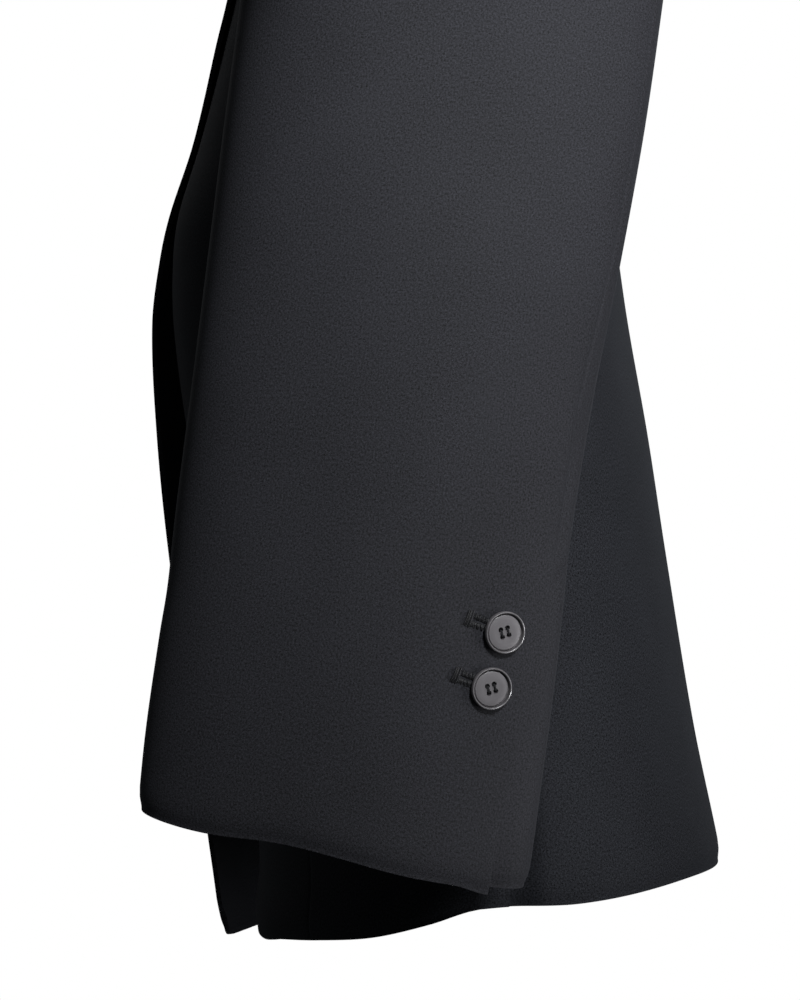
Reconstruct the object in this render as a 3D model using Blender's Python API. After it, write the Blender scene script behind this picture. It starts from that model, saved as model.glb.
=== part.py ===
"""A single-breasted tailored jacket, filled out as it is worn, with no wearer in it.

Metres, +Z up. The front faces -Y and the wearer's left is +X. The origin is at the nape, where the back neck
seam rests on the wearer. In the tables heights are measured up from the level of the back hem, and depths from
a line down the middle of the body, so an empty at that line's foot carries every piece.
"""
import math

import bmesh
import bpy
from mathutils import Vector

# Driving sizes
BACK_LENGTH = 0.72
NAPE_DEPTH = 0.0489
WALL = 0.002
SEAM_GAP = 0.0003
SEAM_DRAW = 0.6 * SEAM_GAP
LAY_GAP = 0.0013
ROUNDNESS = 2 / 2.3
HALVINGS = 40
SMALL_TURN = 0.01

# Shoulders: the ridge is the shoulder seam's line, and the cloth rounds over it
SHOULDER_HALF = 0.195
RIDGE_TOP = 0.745
RIDGE_SLOPE = 0.40
SHOULDER_ROUND = 0.12
NECK_HALF = 0.075
NECK_HEIGHT = 0.715
BACK_NECK_CORNER = 0.60

# Armhole, as an ellipse seen from the side
ARMHOLE_BOTTOM = 0.502
ARMHOLE_HALF_DEPTH = 0.062
ARMHOLE_BACKWARD = 0.004
PANEL_SEAM_TURN = math.radians(105)
PANEL_SEAM_BEND = 0.50
SIDE_SEAM = 0.52
SIDE_SEAM_TURN = math.radians(180)
SIDE_SEAM_BEND = 0.30
ARMHOLE_STEP = math.radians(15)
SLEEVE_FIT = 0.12
SLEEVE_STANDS_OFF = 0.0005
LAPEL_STANDS_OFF = 0.002

# How the pieces are divided: rows up the body and where the armhole starts on them, and columns across
BODY_ROWS = 20
FRONT_JOIN = 0.78
BACK_JOIN = 0.70

# Vents
SIDE_VENT_TOP = 0.20
SIDE_VENT_LAP = 0.014
SIDE_VENT_START = 0.050
SIDE_VENT_EASE = 0.030
SIDE_RADIUS = 0.19
CUFF_VENT_TOP = 0.140
CUFF_VENT_LAP = 0.016
UNDER_SLEEVE_END = 0.9965
VENT_RUN = 0.014
VENT_RISE = 0.030
VENT_SINK = 0.0030

# Buttons
CUFF_BUTTON = 0.0161
FRONT_BUTTON = 0.020
CUFF_BUTTON_SEAT = 0.0004
FRONT_BUTTON_SEAT = 0.0013
CUFF_BUTTONS = {"upper": (0.1100, 0.0136), "lower": (0.0889, 0.0141)}
FRONT_BUTTON_HEIGHT = 0.388

# A button's sizes, as parts of its radius or its thickness
BUTTON_THICKNESS = 0.17
BUTTON_SECTION = [(0.80, 0.00), (1.00, 0.45), (0.985, 0.80), (0.93, 1.00), (0.86, 0.95), (0.81, 0.62), (0.00, 0.62)]
BUTTON_STEPS = 20
HOLE_RADIUS = 0.11
HOLE_SPREAD = 0.235

# Colour and roughness
MATERIALS = {
    "suiting": ((0.016, 0.017, 0.020), 0.8),
    "button": ((0.055, 0.052, 0.052), 0.35),
}


class Table:
    """Rows of sizes with named columns, read between the rows along smooth curves."""

    def __init__(self, columns, rows):
        self.columns = columns.split()
        self.rows = rows

    def __call__(self, column, place):
        rows = self.rows
        k = self.columns.index(column)
        if place <= rows[0][0]:
            return rows[0][k]
        if place >= rows[-1][0]:
            return rows[-1][k]
        i = max(j for j in range(len(rows) - 1) if rows[j][0] <= place)
        span = rows[i + 1][0] - rows[i][0]
        part = (place - rows[i][0]) / span
        start = self.slope(i, k) * span
        end = self.slope(i + 1, k) * span
        low = rows[i][k]
        high = rows[i + 1][k]
        return (low * (1 - 3 * part**2 + 2 * part**3) + high * (3 * part**2 - 2 * part**3)
                + start * (part - 2 * part**2 + part**3) + end * (part**3 - part**2))

    def slope(self, i, k):
        before = max(i - 1, 0)
        after = min(i + 1, len(self.rows) - 1)
        return (self.rows[after][k] - self.rows[before][k]) / (self.rows[after][0] - self.rows[before][0])


# The body's level sections. The right front laps over the left one and hangs further forward below it.
BODY = Table("height half_width front_left front_right back", [
    (-0.045, 0.1970, 0.0972, 0.1100, 0.1085),
    (-0.020, 0.1960, 0.0967, 0.1128, 0.1048),
    (0.009, 0.1945, 0.0940, 0.1168, 0.0996),
    (0.060, 0.1900, 0.1010, 0.1236, 0.0889),
    (0.131, 0.1810, 0.1140, 0.1325, 0.0772),
    (0.179, 0.1725, 0.1225, 0.1367, 0.0698),
    (0.225, 0.1635, 0.1283, 0.1381, 0.0616),
    (0.253, 0.1580, 0.1285, 0.1345, 0.0575),
    (0.271, 0.1550, 0.1262, 0.1303, 0.0552),
    (0.301, 0.1515, 0.1170, 0.1201, 0.0521),
    (0.340, 0.1485, 0.1070, 0.1109, 0.0502),
    (0.375, 0.1480, 0.0998, 0.1035, 0.0504),
    (0.410, 0.1510, 0.1018, 0.1055, 0.0545),
    (0.450, 0.1590, 0.1180, 0.1210, 0.0640),
    (0.500, 0.1680, 0.1290, 0.1320, 0.0740),
    (0.550, 0.1700, 0.1270, 0.1300, 0.0800),
    (0.610, 0.1790, 0.1170, 0.1200, 0.0810),
    (0.667, 0.1950, 0.1060, 0.1090, 0.0800),
    (0.745, 0.1950, 0.0950, 0.0980, 0.0800),
])

# Across from the centre front: the front edges (past the centre where they lap), then the roll line
FRONT_LINES = Table("height edge_left edge_right", [
    (-0.040, 0.060, 0.035),
    (0.009, 0.059, 0.034),
    (0.100, 0.046, 0.025),
    (0.180, 0.028, 0.015),
    (0.250, 0.008, 0.004),
    (0.274, 0.000, -0.001),
    (0.320, -0.013, -0.013),
    (0.370, -0.019, -0.019),
    (0.400, -0.017, -0.017),
    (0.450, 0.000, 0.000),
    (0.520, 0.025, 0.025),
    (0.600, 0.050, 0.050),
    (0.670, 0.069, 0.069),
    (0.715, 0.075, 0.075),
])

PANEL_SEAM = Table("height across", [
    (-0.040, 0.148),
    (0.050, 0.140),
    (0.150, 0.122),
    (0.250, 0.103),
    (0.350, 0.093),
    (0.430, 0.098),
    (0.490, 0.115),
    (0.530, 0.137),
    (0.560, 0.156),
])

# The hem, by the turn round the body: it dips towards the front corners
HEM = Table("turn left right", [
    (0.044, -0.0180, -0.0290),
    (0.052, -0.0180, -0.0345),
    (0.065, -0.0180, -0.0365),
    (0.082, -0.0180, -0.0372),
    (0.092, -0.0225, -0.0375),
    (0.110, -0.0240, -0.0378),
    (0.140, -0.0238, -0.0380),
    (0.180, -0.0215, -0.0372),
    (0.270, -0.0180, -0.0280),
    (0.360, -0.0142, -0.0160),
    (0.440, -0.0078, -0.0078),
    (0.500, -0.0014, -0.0014),
    (0.600, -0.0003, -0.0003),
    (0.800, 0.0043, 0.0043),
    (1.000, 0.0024, 0.0024),
])

LAPEL = Table("part roll_height edge_height width", [
    (0.00, 0.412, 0.410, 0.006),
    (0.20, 0.456, 0.442, 0.024),
    (0.50, 0.530, 0.500, 0.049),
    (0.80, 0.610, 0.562, 0.069),
    (1.00, 0.664, 0.606, 0.078),
])

# Where each lapel starts along its roll line and its outer edge: the left one starts where it comes clear of the
# right front that laps over it
LAPEL_START = {"left": (0.20, 0.12), "right": (0.0, 0.0)}

# The sleeve's rings, from the armhole to the cuff: where each passes outermost and innermost, its middle from
# front to back, how far its front end rises, and how far its outer side drops
SLEEVE = Table("part out_x out_height in_x in_height middle half rise drop", [
    (0.00, 0.195, 0.667, 0.168, 0.502, 0.002, 0.062, 0.000, 0.000),
    (0.04, 0.219, 0.668, 0.175, 0.495, 0.002, 0.067, 0.000, 0.000),
    (0.09, 0.245, 0.652, 0.181, 0.488, 0.001, 0.073, 0.000, 0.000),
    (0.15, 0.267, 0.618, 0.186, 0.481, 0.001, 0.078, 0.000, 0.000),
    (0.22, 0.280, 0.572, 0.189, 0.471, 0.000, 0.081, 0.000, 0.000),
    (0.31, 0.286, 0.514, 0.191, 0.455, -0.001, 0.082, 0.000, 0.000),
    (0.40, 0.287, 0.450, 0.192, 0.430, -0.003, 0.0815, 0.000, 0.000),
    (0.54, 0.284, 0.349, 0.194, 0.349, -0.014, 0.0801, 0.000, 0.000),
    (0.61, 0.282, 0.300, 0.195, 0.300, -0.0206, 0.0799, 0.000, 0.000),
    (0.68, 0.280, 0.250, 0.196, 0.250, -0.0282, 0.0784, 0.001, 0.000),
    (0.75, 0.278, 0.200, 0.198, 0.200, -0.0364, 0.0764, 0.002, 0.000),
    (0.82, 0.275, 0.150, 0.199, 0.150, -0.0437, 0.0753, 0.004, 0.001),
    (0.86, 0.274, 0.120, 0.200, 0.120, -0.0470, 0.0751, 0.006, 0.0015),
    (0.89, 0.273, 0.100, 0.201, 0.100, -0.0497, 0.0754, 0.008, 0.002),
    (0.95, 0.271, 0.060, 0.202, 0.060, -0.0552, 0.0752, 0.012, 0.003),
    (1.00, 0.270, 0.0262, 0.203, 0.0262, -0.0593, 0.0743, 0.015, 0.0032),
])

# The sleeve's two seams, as turns round it in degrees: 0 is outermost, 90 is backmost
SLEEVE_SEAMS = Table("part hind fore", [
    (0.00, 75.0, -120),
    (0.40, 72.0, -121),
    (0.66, 71.5, -122),
    (0.75, 67.0, -123),
    (0.815, 67.5, -124),
    (0.85, 61.5, -124),
    (0.875, 57.3, -124),
    (0.94, 54.2, -124),
    (0.97, 50.5, -124),
    (1.00, 51.0, -124),
])


def mix(a, b, part):
    return a + (b - a) * part


def ease(part):
    part = min(max(part, 0.0), 1.0)
    return part * part * (3 - 2 * part)


def power(value, exponent):
    return math.copysign(abs(value) ** exponent, value)


def ridge_height(turn):
    """The height of the shoulder line above this turn round the body."""
    return RIDGE_TOP - RIDGE_SLOPE * SHOULDER_HALF * abs(power(math.sin(math.pi * turn), ROUNDNESS))


def drop_from_height(turn, height):
    """How far down from the shoulder line a height lies: 0 on the line, 1 where the rounding ends."""
    below = ridge_height(turn) - height
    if below < SHOULDER_ROUND:
        return math.acos(1 - max(below, 0.0) / SHOULDER_ROUND) / (math.pi / 2)
    return 1 + (below - SHOULDER_ROUND) / (SHOULDER_ROUND * math.pi / 2)


def body_point(turn, drop, side):
    """The body's outer face. Turn 0 is the centre front, 0.5 the side and 1 the centre back."""
    angle = min(drop, 1.0) * math.pi / 2
    height = ridge_height(turn) - SHOULDER_ROUND * (1 - math.cos(angle))
    height -= max(drop - 1.0, 0.0) * SHOULDER_ROUND * math.pi / 2
    across = power(math.sin(math.pi * turn), ROUNDNESS)
    along = power(math.cos(math.pi * turn), ROUNDNESS)
    front = "front_left" if side > 0 else "front_right"
    depth = BODY(front, height) if along > 0 else BODY("back", height)
    return Vector((side * BODY("half_width", height) * across, -depth * along * math.sin(angle), height))


def turn_at(across, height, back=False):
    """The turn at which the body is this far across from its middle line."""
    ratio = min(abs(across) / BODY("half_width", height), 1.0)
    turn = math.asin(ratio ** (1 / ROUNDNESS)) / math.pi
    if back:
        return 1 - turn
    return math.copysign(turn, across)


def armhole(angle, side):
    """The armhole's line on the body. Angle 0 is the shoulder's tip, a quarter turn the front."""
    tip = ridge_height(0.5)
    middle = (tip + ARMHOLE_BOTTOM) / 2
    height = middle + (tip - ARMHOLE_BOTTOM) / 2 * math.cos(angle)
    depth = ARMHOLE_BACKWARD * (1 - math.cos(angle)) / 2 - ARMHOLE_HALF_DEPTH * math.sin(angle)
    low, high = (0.5, 0.0) if depth < 0 else (0.5, 1.0)
    for _ in range(HALVINGS):
        turn = (low + high) / 2
        if abs(body_point(turn, drop_from_height(turn, height), side).y) < abs(depth):
            low = turn
        else:
            high = turn
    return turn, drop_from_height(turn, height)


def ring_point(turn, part, side):
    """The sleeve's outer face before it is fitted to the armhole. Turn 0 is outermost, a quarter backmost."""
    outer = power(math.cos(turn), ROUNDNESS)
    back = power(math.sin(turn), ROUNDNESS)
    middle_x = (SLEEVE("out_x", part) + SLEEVE("in_x", part)) / 2
    middle_height = (SLEEVE("out_height", part) + SLEEVE("in_height", part)) / 2
    half_x = (SLEEVE("out_x", part) - SLEEVE("in_x", part)) / 2
    half_height = (SLEEVE("out_height", part) - SLEEVE("in_height", part)) / 2
    height = middle_height + half_height * outer - SLEEVE("rise", part) * back - SLEEVE("drop", part) * outer
    depth = SLEEVE("middle", part) + SLEEVE("half", part) * back
    return Vector((side * (middle_x + half_x * outer), depth, height))


def sleeve_point(turn, part, side):
    """The sleeve's outer face, which starts along the armhole's line and leaves it within a hand's width."""
    point = ring_point(turn, part, side)
    if part < SLEEVE_FIT:
        seam = body_point(*armhole(-turn, side), side) + Vector((side * SLEEVE_STANDS_OFF, 0, 0))
        point += (seam - ring_point(turn, 0.0, side)) * (1 - ease(part / SLEEVE_FIT))
    return point


def face_normal(surface, a, b, side):
    """The outward direction of a surface of two values, by small steps each way."""
    step = 1e-4
    along_a = surface(a + step, b, side) - surface(a - step, b, side)
    along_b = surface(a, b + step, side) - surface(a, max(b - step, 0.0), side)
    return along_b.cross(along_a).normalized() * side


def coons(left, right, bottom, top, u, v):
    """A place inside four edge lines, each a function that gives two values."""
    corners = [left(0), right(0), left(1), right(1)]
    place = []
    for k in (0, 1):
        across = mix(left(v)[k], right(v)[k], u)
        upward = mix(bottom(u)[k], top(u)[k], v)
        flat = mix(mix(corners[0][k], corners[1][k], u), mix(corners[2][k], corners[3][k], u), v)
        place.append(across + upward - flat)
    return place


def open_seams(grid, seams):
    """Draws a grid's edges in by half the gap where they are sewn to a neighbour."""
    lines = {
        "left": [(row, 0, row, 1) for row in range(len(grid))],
        "right": [(row, -1, row, -2) for row in range(len(grid))],
        "bottom": [(0, k, 1, k) for k in range(len(grid[0]))],
        "top": [(-1, k, -2, k) for k in range(len(grid[0]))],
    }
    for name in seams:
        for row, k, next_row, next_k in lines[name]:
            inward = (grid[next_row][next_k] - grid[row][k]).normalized()
            grid[row][k] = grid[row][k] + inward * SEAM_DRAW


def cloth(name, outer, inner):
    """A wall of cloth between two like grids of points, closed round its edges."""
    rows = len(outer)
    columns = len(outer[0])
    count = rows * columns
    faces = []
    for j in range(rows - 1):
        for i in range(columns - 1):
            a = j * columns + i
            faces.append((a, a + 1, a + columns + 1, a + columns))
            faces.append((count + a, count + a + columns, count + a + columns + 1, count + a + 1))
    rim = list(range(columns)) + [j * columns + columns - 1 for j in range(1, rows)]
    rim += [count - 1 - i for i in range(1, columns)] + [j * columns for j in range(rows - 2, 0, -1)]
    for k, a in enumerate(rim):
        b = rim[(k + 1) % len(rim)]
        faces.append((b, a, count + a, count + b))
    points = [p for row in outer for p in row] + [p for row in inner for p in row]
    mesh = bpy.data.meshes.new(name)
    mesh.from_pydata([tuple(p) for p in points], [], faces)
    bm = bmesh.new()
    bm.from_mesh(mesh)
    bmesh.ops.recalc_face_normals(bm, faces=bm.faces)
    bm.to_mesh(mesh)
    bm.free()
    return finish(name, mesh, "suiting")


def finish(name, mesh, made_of):
    """Makes the named object with its material, carried by the jacket's empty."""
    for face in mesh.polygons:
        face.use_smooth = True
    mesh.set_sharp_from_angle(angle=math.radians(40))
    material = bpy.data.materials.new(name)
    material.use_nodes = True
    shader = material.node_tree.nodes["Principled BSDF"]
    colour, roughness = MATERIALS[made_of]
    shader.inputs["Base Color"].default_value = (*colour, 1)
    shader.inputs["Roughness"].default_value = roughness
    mesh.materials.append(material)
    thing = bpy.data.objects.new(name, mesh)
    jacket.objects.link(thing)
    thing.parent = middle_line
    return thing


def panel(name, surface, side, edges, columns, rows, seams, sink=None, lift=0.0):
    """One cut piece: a patch of a surface inside four edge lines, given the cloth's wall inwards."""
    outer = []
    inner = []
    for v in rows:
        outer_row = []
        inner_row = []
        for u in columns:
            a, b = coons(*edges, u, v)
            point = surface(a, b, side)
            normal = face_normal(surface, a, b, side)
            raised = lift - (sink(a, b) if sink else 0.0)
            outer_row.append(point + normal * raised)
            inner_row.append(point + normal * (raised - WALL))
        outer.append(outer_row)
        inner.append(inner_row)
    open_seams(outer, seams)
    open_seams(inner, seams)
    return cloth(name, outer, inner)


def even(count, first=0.0, last=1.0):
    return [mix(first, last, k / count) for k in range(count + 1)]


def side_name(side):
    return "left" if side > 0 else "right"


def hem_place(turn, side):
    return turn, drop_from_height(turn, HEM(side_name(side), turn))


def front_line(side):
    """From the hem's front corner up the front edge and the roll line to the neck."""
    column = "edge_" + side_name(side)
    neck = turn_at(NECK_HALF, NECK_HEIGHT)
    foot = HEM(side_name(side), turn_at(FRONT_LINES(column, 0.0), 0.0))

    def line(v):
        height = mix(foot, ridge_height(neck), v)
        turn = turn_at(FRONT_LINES(column, height), height)
        return turn, drop_from_height(turn, height)
    return line


def panel_seam_line(side):
    """From the hem up the panel seam to the armhole."""
    turn, drop = armhole(PANEL_SEAM_TURN, side)
    top = body_point(turn, drop, side).z
    short = turn - turn_at(PANEL_SEAM("across", top), top)
    foot = HEM(side_name(side), turn_at(PANEL_SEAM("across", 0.0), 0.0))

    def line(v):
        height = mix(foot, top, v)
        bend = ease((height - PANEL_SEAM_BEND) / (top - PANEL_SEAM_BEND))
        place = turn_at(PANEL_SEAM("across", height), height) + short * bend
        return place, drop_from_height(place, height)
    return line


def side_seam_line(side):
    turn, drop = armhole(SIDE_SEAM_TURN, side)
    top = body_point(turn, drop, side).z

    def line(v):
        height = mix(HEM(side_name(side), SIDE_SEAM), top, v)
        place = mix(SIDE_SEAM, turn, ease((height - SIDE_SEAM_BEND) / (top - SIDE_SEAM_BEND)))
        return place, drop_from_height(place, height)
    return line


def armhole_line(start, end, side):
    def line(v):
        return armhole(mix(start, end, v), side)
    return line


def joined(lower, upper, join):
    """Two lines end to end, the first up to the given part of the whole."""
    def line(v):
        if v <= join:
            return lower(v / join)
        return upper((v - join) / (1 - join))
    return line


def hem_line(left, right, side):
    def line(u):
        return hem_place(mix(left(0)[0], right(0)[0], u), side)
    return line


def make_front(side):
    left = front_line(side)
    right = joined(panel_seam_line(side), armhole_line(PANEL_SEAM_TURN, 0.0, side), FRONT_JOIN)
    top = shoulder_line(left(1)[0], 0.5)
    bottom = hem_line(left, right, side)
    rows = even(BODY_ROWS, 0.0, FRONT_JOIN) + even(round(PANEL_SEAM_TURN / ARMHOLE_STEP), FRONT_JOIN, 1.0)[1:]
    columns = [0.0, 0.03, 0.10] + even(6, 0.22, 1.0)
    edges = (left, right, bottom, top)
    return panel("front_" + side_name(side), body_point, side, edges, columns, rows, ("right", "top"))


def shoulder_line(start, end):
    def line(u):
        return mix(start, end, u), 0.0
    return line


def make_side_front(side):
    left = panel_seam_line(side)
    right = side_seam_line(side)
    top = armhole_line(PANEL_SEAM_TURN, SIDE_SEAM_TURN, side)
    bottom = hem_line(left, right, side)
    edges = (left, right, bottom, top)
    columns = even(4, 0.0, 0.8) + [0.9, 1.0]
    return panel("side_front_" + side_name(side), body_point, side, edges, columns, even(BODY_ROWS),
                 ("left", "right", "top"))


def make_back(side):
    seam = side_seam_line(side)
    turn_per_metre = 1 / (SIDE_RADIUS * math.pi)

    def lap(height):
        return SIDE_VENT_LAP * turn_per_metre * ease((SIDE_VENT_TOP - height) / SIDE_VENT_START)

    def left_seam(v):
        turn, drop = seam(v)
        height = body_point(turn, drop, side).z
        turn -= lap(height)
        return turn, drop_from_height(turn, height)

    def sink(turn, drop):
        height = body_point(turn, drop, side).z
        near = 1 - ease((turn - SIDE_SEAM) / (SIDE_VENT_EASE * turn_per_metre))
        return VENT_SINK * near * ease((SIDE_VENT_TOP + 2 * VENT_RISE - height) / VENT_RISE)

    def right(v):
        height = mix(HEM(side_name(side), 1.0), BACK_LENGTH, v)
        return 1.0, drop_from_height(1.0, height)

    neck_turn = 1 - turn_at(NECK_HALF, NECK_HEIGHT)

    def top(u):
        if u <= BACK_NECK_CORNER:
            return mix(0.5, neck_turn, u / BACK_NECK_CORNER), 0.0
        part = (u - BACK_NECK_CORNER) / (1 - BACK_NECK_CORNER)
        turn = mix(neck_turn, 1.0, part)
        height = mix(ridge_height(neck_turn), BACK_LENGTH, ease(part))
        return turn, drop_from_height(turn, height)

    left = joined(left_seam, armhole_line(SIDE_SEAM_TURN, 2 * math.pi, side), BACK_JOIN)
    edges = (left, right, hem_line(left, right, side), top)
    rows = even(BODY_ROWS, 0.0, BACK_JOIN) + even(round(math.pi / ARMHOLE_STEP), BACK_JOIN, 1.0)[1:]
    columns = [0.0, 0.055, 0.11] + even(5, 0.18, BACK_NECK_CORNER) + even(3, BACK_NECK_CORNER, 1.0)[1:]
    return panel("back_" + side_name(side), body_point, side, edges, columns, rows, ("left", "right", "top"), sink)


def make_lapel(side):
    column = "edge_" + side_name(side)
    start_roll, start_edge = LAPEL_START[side_name(side)]

    def place(v, u):
        roll = LAPEL("roll_height", v)
        height = mix(roll, LAPEL("edge_height", v), u)
        across = FRONT_LINES(column, roll) + LAPEL_STANDS_OFF + LAPEL("width", v) * u
        turn = turn_at(across, height)
        return turn, drop_from_height(turn, height)

    def roll_line(v):
        return place(mix(start_roll, 1.0, v), 0.0)

    def outer_line(v):
        return place(mix(start_edge, 1.0, v), 1.0)

    def foot(u):
        return [mix(a, b, u) for a, b in zip(roll_line(0), outer_line(0))]

    edges = (roll_line, outer_line, foot, lambda u: place(1.0, u))
    return panel("lapel_" + side_name(side), body_point, side, edges, even(5), even(10), (), None, WALL + LAY_GAP)


def shoulder_height(across, depth, side):
    """The height of the body's outer face over a place in plan."""
    low, high = ARMHOLE_BOTTOM, RIDGE_TOP
    for _ in range(HALVINGS):
        height = (low + high) / 2
        turn = turn_at(across, height, depth > 0)
        if height >= ridge_height(turn):
            high = height
            continue
        point = body_point(turn, drop_from_height(turn, height), side)
        if abs(point.y) > abs(depth):
            low = height
        else:
            high = height
    return low


# The collar by the turn round the neck: 0 is the nape, 1 the end at the gorge. It stands up from the neck seam,
# folds, and falls over the shoulders
COLLAR = Table("turn base_x base_y base_height stand fall_x fall_y", [
    (0.00, 0.0000, 0.0450, 0.7225, 0.030, 0.0000, 0.0620),
    (0.20, 0.0260, 0.0410, 0.7220, 0.030, 0.0340, 0.0590),
    (0.40, 0.0520, 0.0270, 0.7195, 0.028, 0.0720, 0.0440),
    (0.55, 0.0690, 0.0040, 0.7175, 0.024, 0.1010, 0.0120),
    (0.70, 0.0715, -0.0240, 0.7110, 0.016, 0.1100, -0.0230),
    (0.85, 0.0695, -0.0520, 0.6990, 0.010, 0.1100, -0.0530),
    (1.00, 0.0670, -0.0800, 0.6810, 0.005, 0.1035, -0.0820),
])
COLLAR_CLEARANCE = 0.0034
COLLAR_STEPS = 12

# The collar's fall, as parts of the way from its neck seam to its edge: the points on it, where its fold ends and
# where it comes to lie on the shoulders
FALL_POINTS = (0.08, 0.20, 0.45, 0.72, 1.00)
FOLD_RISE = 0.004
FOLD_END = 0.30
FALL_LIES = 0.85


def collar_section(turn, side):
    """Points from the neck seam up the stand, over the fold and down the fall to its edge."""
    base = Vector((side * COLLAR("base_x", turn), COLLAR("base_y", turn), COLLAR("base_height", turn)))
    edge = Vector((side * COLLAR("fall_x", turn), COLLAR("fall_y", turn), 0))
    stand = COLLAR("stand", turn)
    points = [base + Vector((0, 0, stand * part)) for part in even(2)]
    for part in FALL_POINTS:
        plan = base.lerp(edge, part)
        lying = shoulder_height(abs(plan.x), plan.y, side) + WALL + COLLAR_CLEARANCE
        fold = base.z + stand + FOLD_RISE * math.sin(math.pi * min(part / FOLD_END, 1.0))
        points.append(Vector((plan.x, plan.y, max(mix(fold, lying, ease(part / FALL_LIES)), lying))))
    return points


def make_collar():
    outer = []
    for k in range(-COLLAR_STEPS, COLLAR_STEPS + 1):
        turn = abs(k) / COLLAR_STEPS
        outer.append(collar_section(turn, -1 if k < 0 else 1))
    inner = []
    for j, row in enumerate(outer):
        before = outer[max(j - 1, 0)]
        after = outer[min(j + 1, len(outer) - 1)]
        inner_row = []
        for i, point in enumerate(row):
            along = row[min(i + 1, len(row) - 1)] - row[max(i - 1, 0)]
            normal = (after[i] - before[i]).cross(along).normalized()
            inner_row.append(point - normal * WALL)
        inner.append(inner_row)
    return cloth("collar", outer, inner)


def make_sleeve(side):
    """The top sleeve laps over the under sleeve along the cuff's vent."""
    def turned(column, part):
        return math.radians(SLEEVE_SEAMS(column, part))

    def near_height(turn, part):
        return sleeve_point(turn, part, side).z

    def hind(v):
        part = 1 - v
        return turned("hind", part), part

    def fore(v):
        part = 1 - v
        return turned("fore", part), part

    def across(start, end, part):
        return lambda u: (mix(start(1 - part)[0], end(1 - part)[0], u), part)

    rows = even(8, 0.0, 0.20) + even(8, 0.20, 0.85)[1:] + [0.89, 0.925, 0.955, 0.98, 1.0]
    edges = (fore, hind, across(fore, hind, 1.0), across(fore, hind, 0.0))
    panel("top_sleeve_" + side_name(side), sleeve_point, side, edges, even(13), rows, ("left", "right"))

    def reach(turn, part):
        here = sleeve_point(turn, part, side)
        return (sleeve_point(turn + SMALL_TURN, part, side) - here).length / SMALL_TURN

    def lap(part):
        turn = turned("hind", part)
        height = near_height(turn, part)
        return CUFF_VENT_LAP / reach(turn, part) * ease((CUFF_VENT_TOP - height) / VENT_RUN)

    def under_hind(v):
        part = 1 - v
        return turned("hind", part) - lap(part), part

    def under_fore(v):
        part = 1 - v
        return turned("fore", part) + 2 * math.pi, part

    def sink(turn, part):
        part = max(part, 0.0)
        height = near_height(turn, part)
        past = (turn - turned("hind", part)) * reach(turn, part)
        near = 1 - ease(past / VENT_RUN)
        return VENT_SINK * near * ease((CUFF_VENT_TOP + 2 * VENT_RISE - height) / VENT_RISE)

    cuff = across(under_hind, under_fore, UNDER_SLEEVE_END)
    edges = (under_hind, under_fore, cuff, across(under_hind, under_fore, 0.0))
    panel("under_sleeve_" + side_name(side), sleeve_point, side, edges, even(11), rows, ("left", "right"), sink)


def make_button(name, diameter, seat, normal, clear):
    """A turned four-hole button with a raised rim round a dished face, seated on the cloth."""
    half = diameter / 2
    thick = diameter * BUTTON_THICKNESS
    bm = bmesh.new()
    line = [bm.verts.new((0, 0, 0))] + [bm.verts.new((half * x, 0, thick * z)) for x, z in BUTTON_SECTION]
    for a, b in zip(line, line[1:]):
        bm.edges.new((a, b))
    bmesh.ops.spin(bm, geom=bm.verts[:] + bm.edges[:], axis=(0, 0, 1), cent=(0, 0, 0), angle=2 * math.pi,
                   steps=BUTTON_STEPS, use_merge=True)
    bmesh.ops.remove_doubles(bm, verts=bm.verts, dist=1e-5)
    bmesh.ops.recalc_face_normals(bm, faces=bm.faces)
    mesh = bpy.data.meshes.new(name)
    bm.to_mesh(mesh)
    bm.free()
    thing = finish(name, mesh, "button")
    thing.location = seat + normal * clear
    thing.rotation_euler = normal.to_track_quat("Z", "Y").to_euler()
    spread = half * HOLE_SPREAD
    for k in range(4):
        turn = math.pi / 4 + k * math.pi / 2
        bpy.ops.mesh.primitive_cylinder_add(vertices=6, radius=half * HOLE_RADIUS, depth=thick * 4)
        drill = bpy.context.object
        drill.name = f"drill_{name}_{k}"
        drill.parent = thing
        drill.location = (spread * math.cos(turn), spread * math.sin(turn), thick / 2)
        drill.hide_render = True
        drill.display_type = "WIRE"
        for home in drill.users_collection:
            home.objects.unlink(drill)
        cutters.objects.link(drill)
        hole = thing.modifiers.new("hole", "BOOLEAN")
        hole.operation = "DIFFERENCE"
        hole.object = drill


def make_cuff_buttons(side):
    for which, (height, inset) in CUFF_BUTTONS.items():
        low, high = 0.5, 1.0
        for _ in range(HALVINGS):
            part = (low + high) / 2
            seam = math.radians(SLEEVE_SEAMS("hind", part))
            ahead = sleeve_point(seam - SMALL_TURN, part, side)
            turn = seam - SMALL_TURN * inset / (sleeve_point(seam, part, side) - ahead).length
            if sleeve_point(turn, part, side).z > height:
                low = part
            else:
                high = part
        make_button(f"cuff_button_{side_name(side)}_{which}", CUFF_BUTTON, sleeve_point(turn, part, side),
                    face_normal(sleeve_point, turn, part, side), CUFF_BUTTON_SEAT)


for old in list(bpy.data.objects):
    bpy.data.objects.remove(old)
jacket = bpy.data.collections.new("tailored_jacket")
cutters = bpy.data.collections.new("cutters")
bpy.context.scene.collection.children.link(jacket)
bpy.context.scene.collection.children.link(cutters)
middle_line = bpy.data.objects.new("middle_line", None)
middle_line.location = (0, -NAPE_DEPTH, -BACK_LENGTH)
jacket.objects.link(middle_line)

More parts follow.
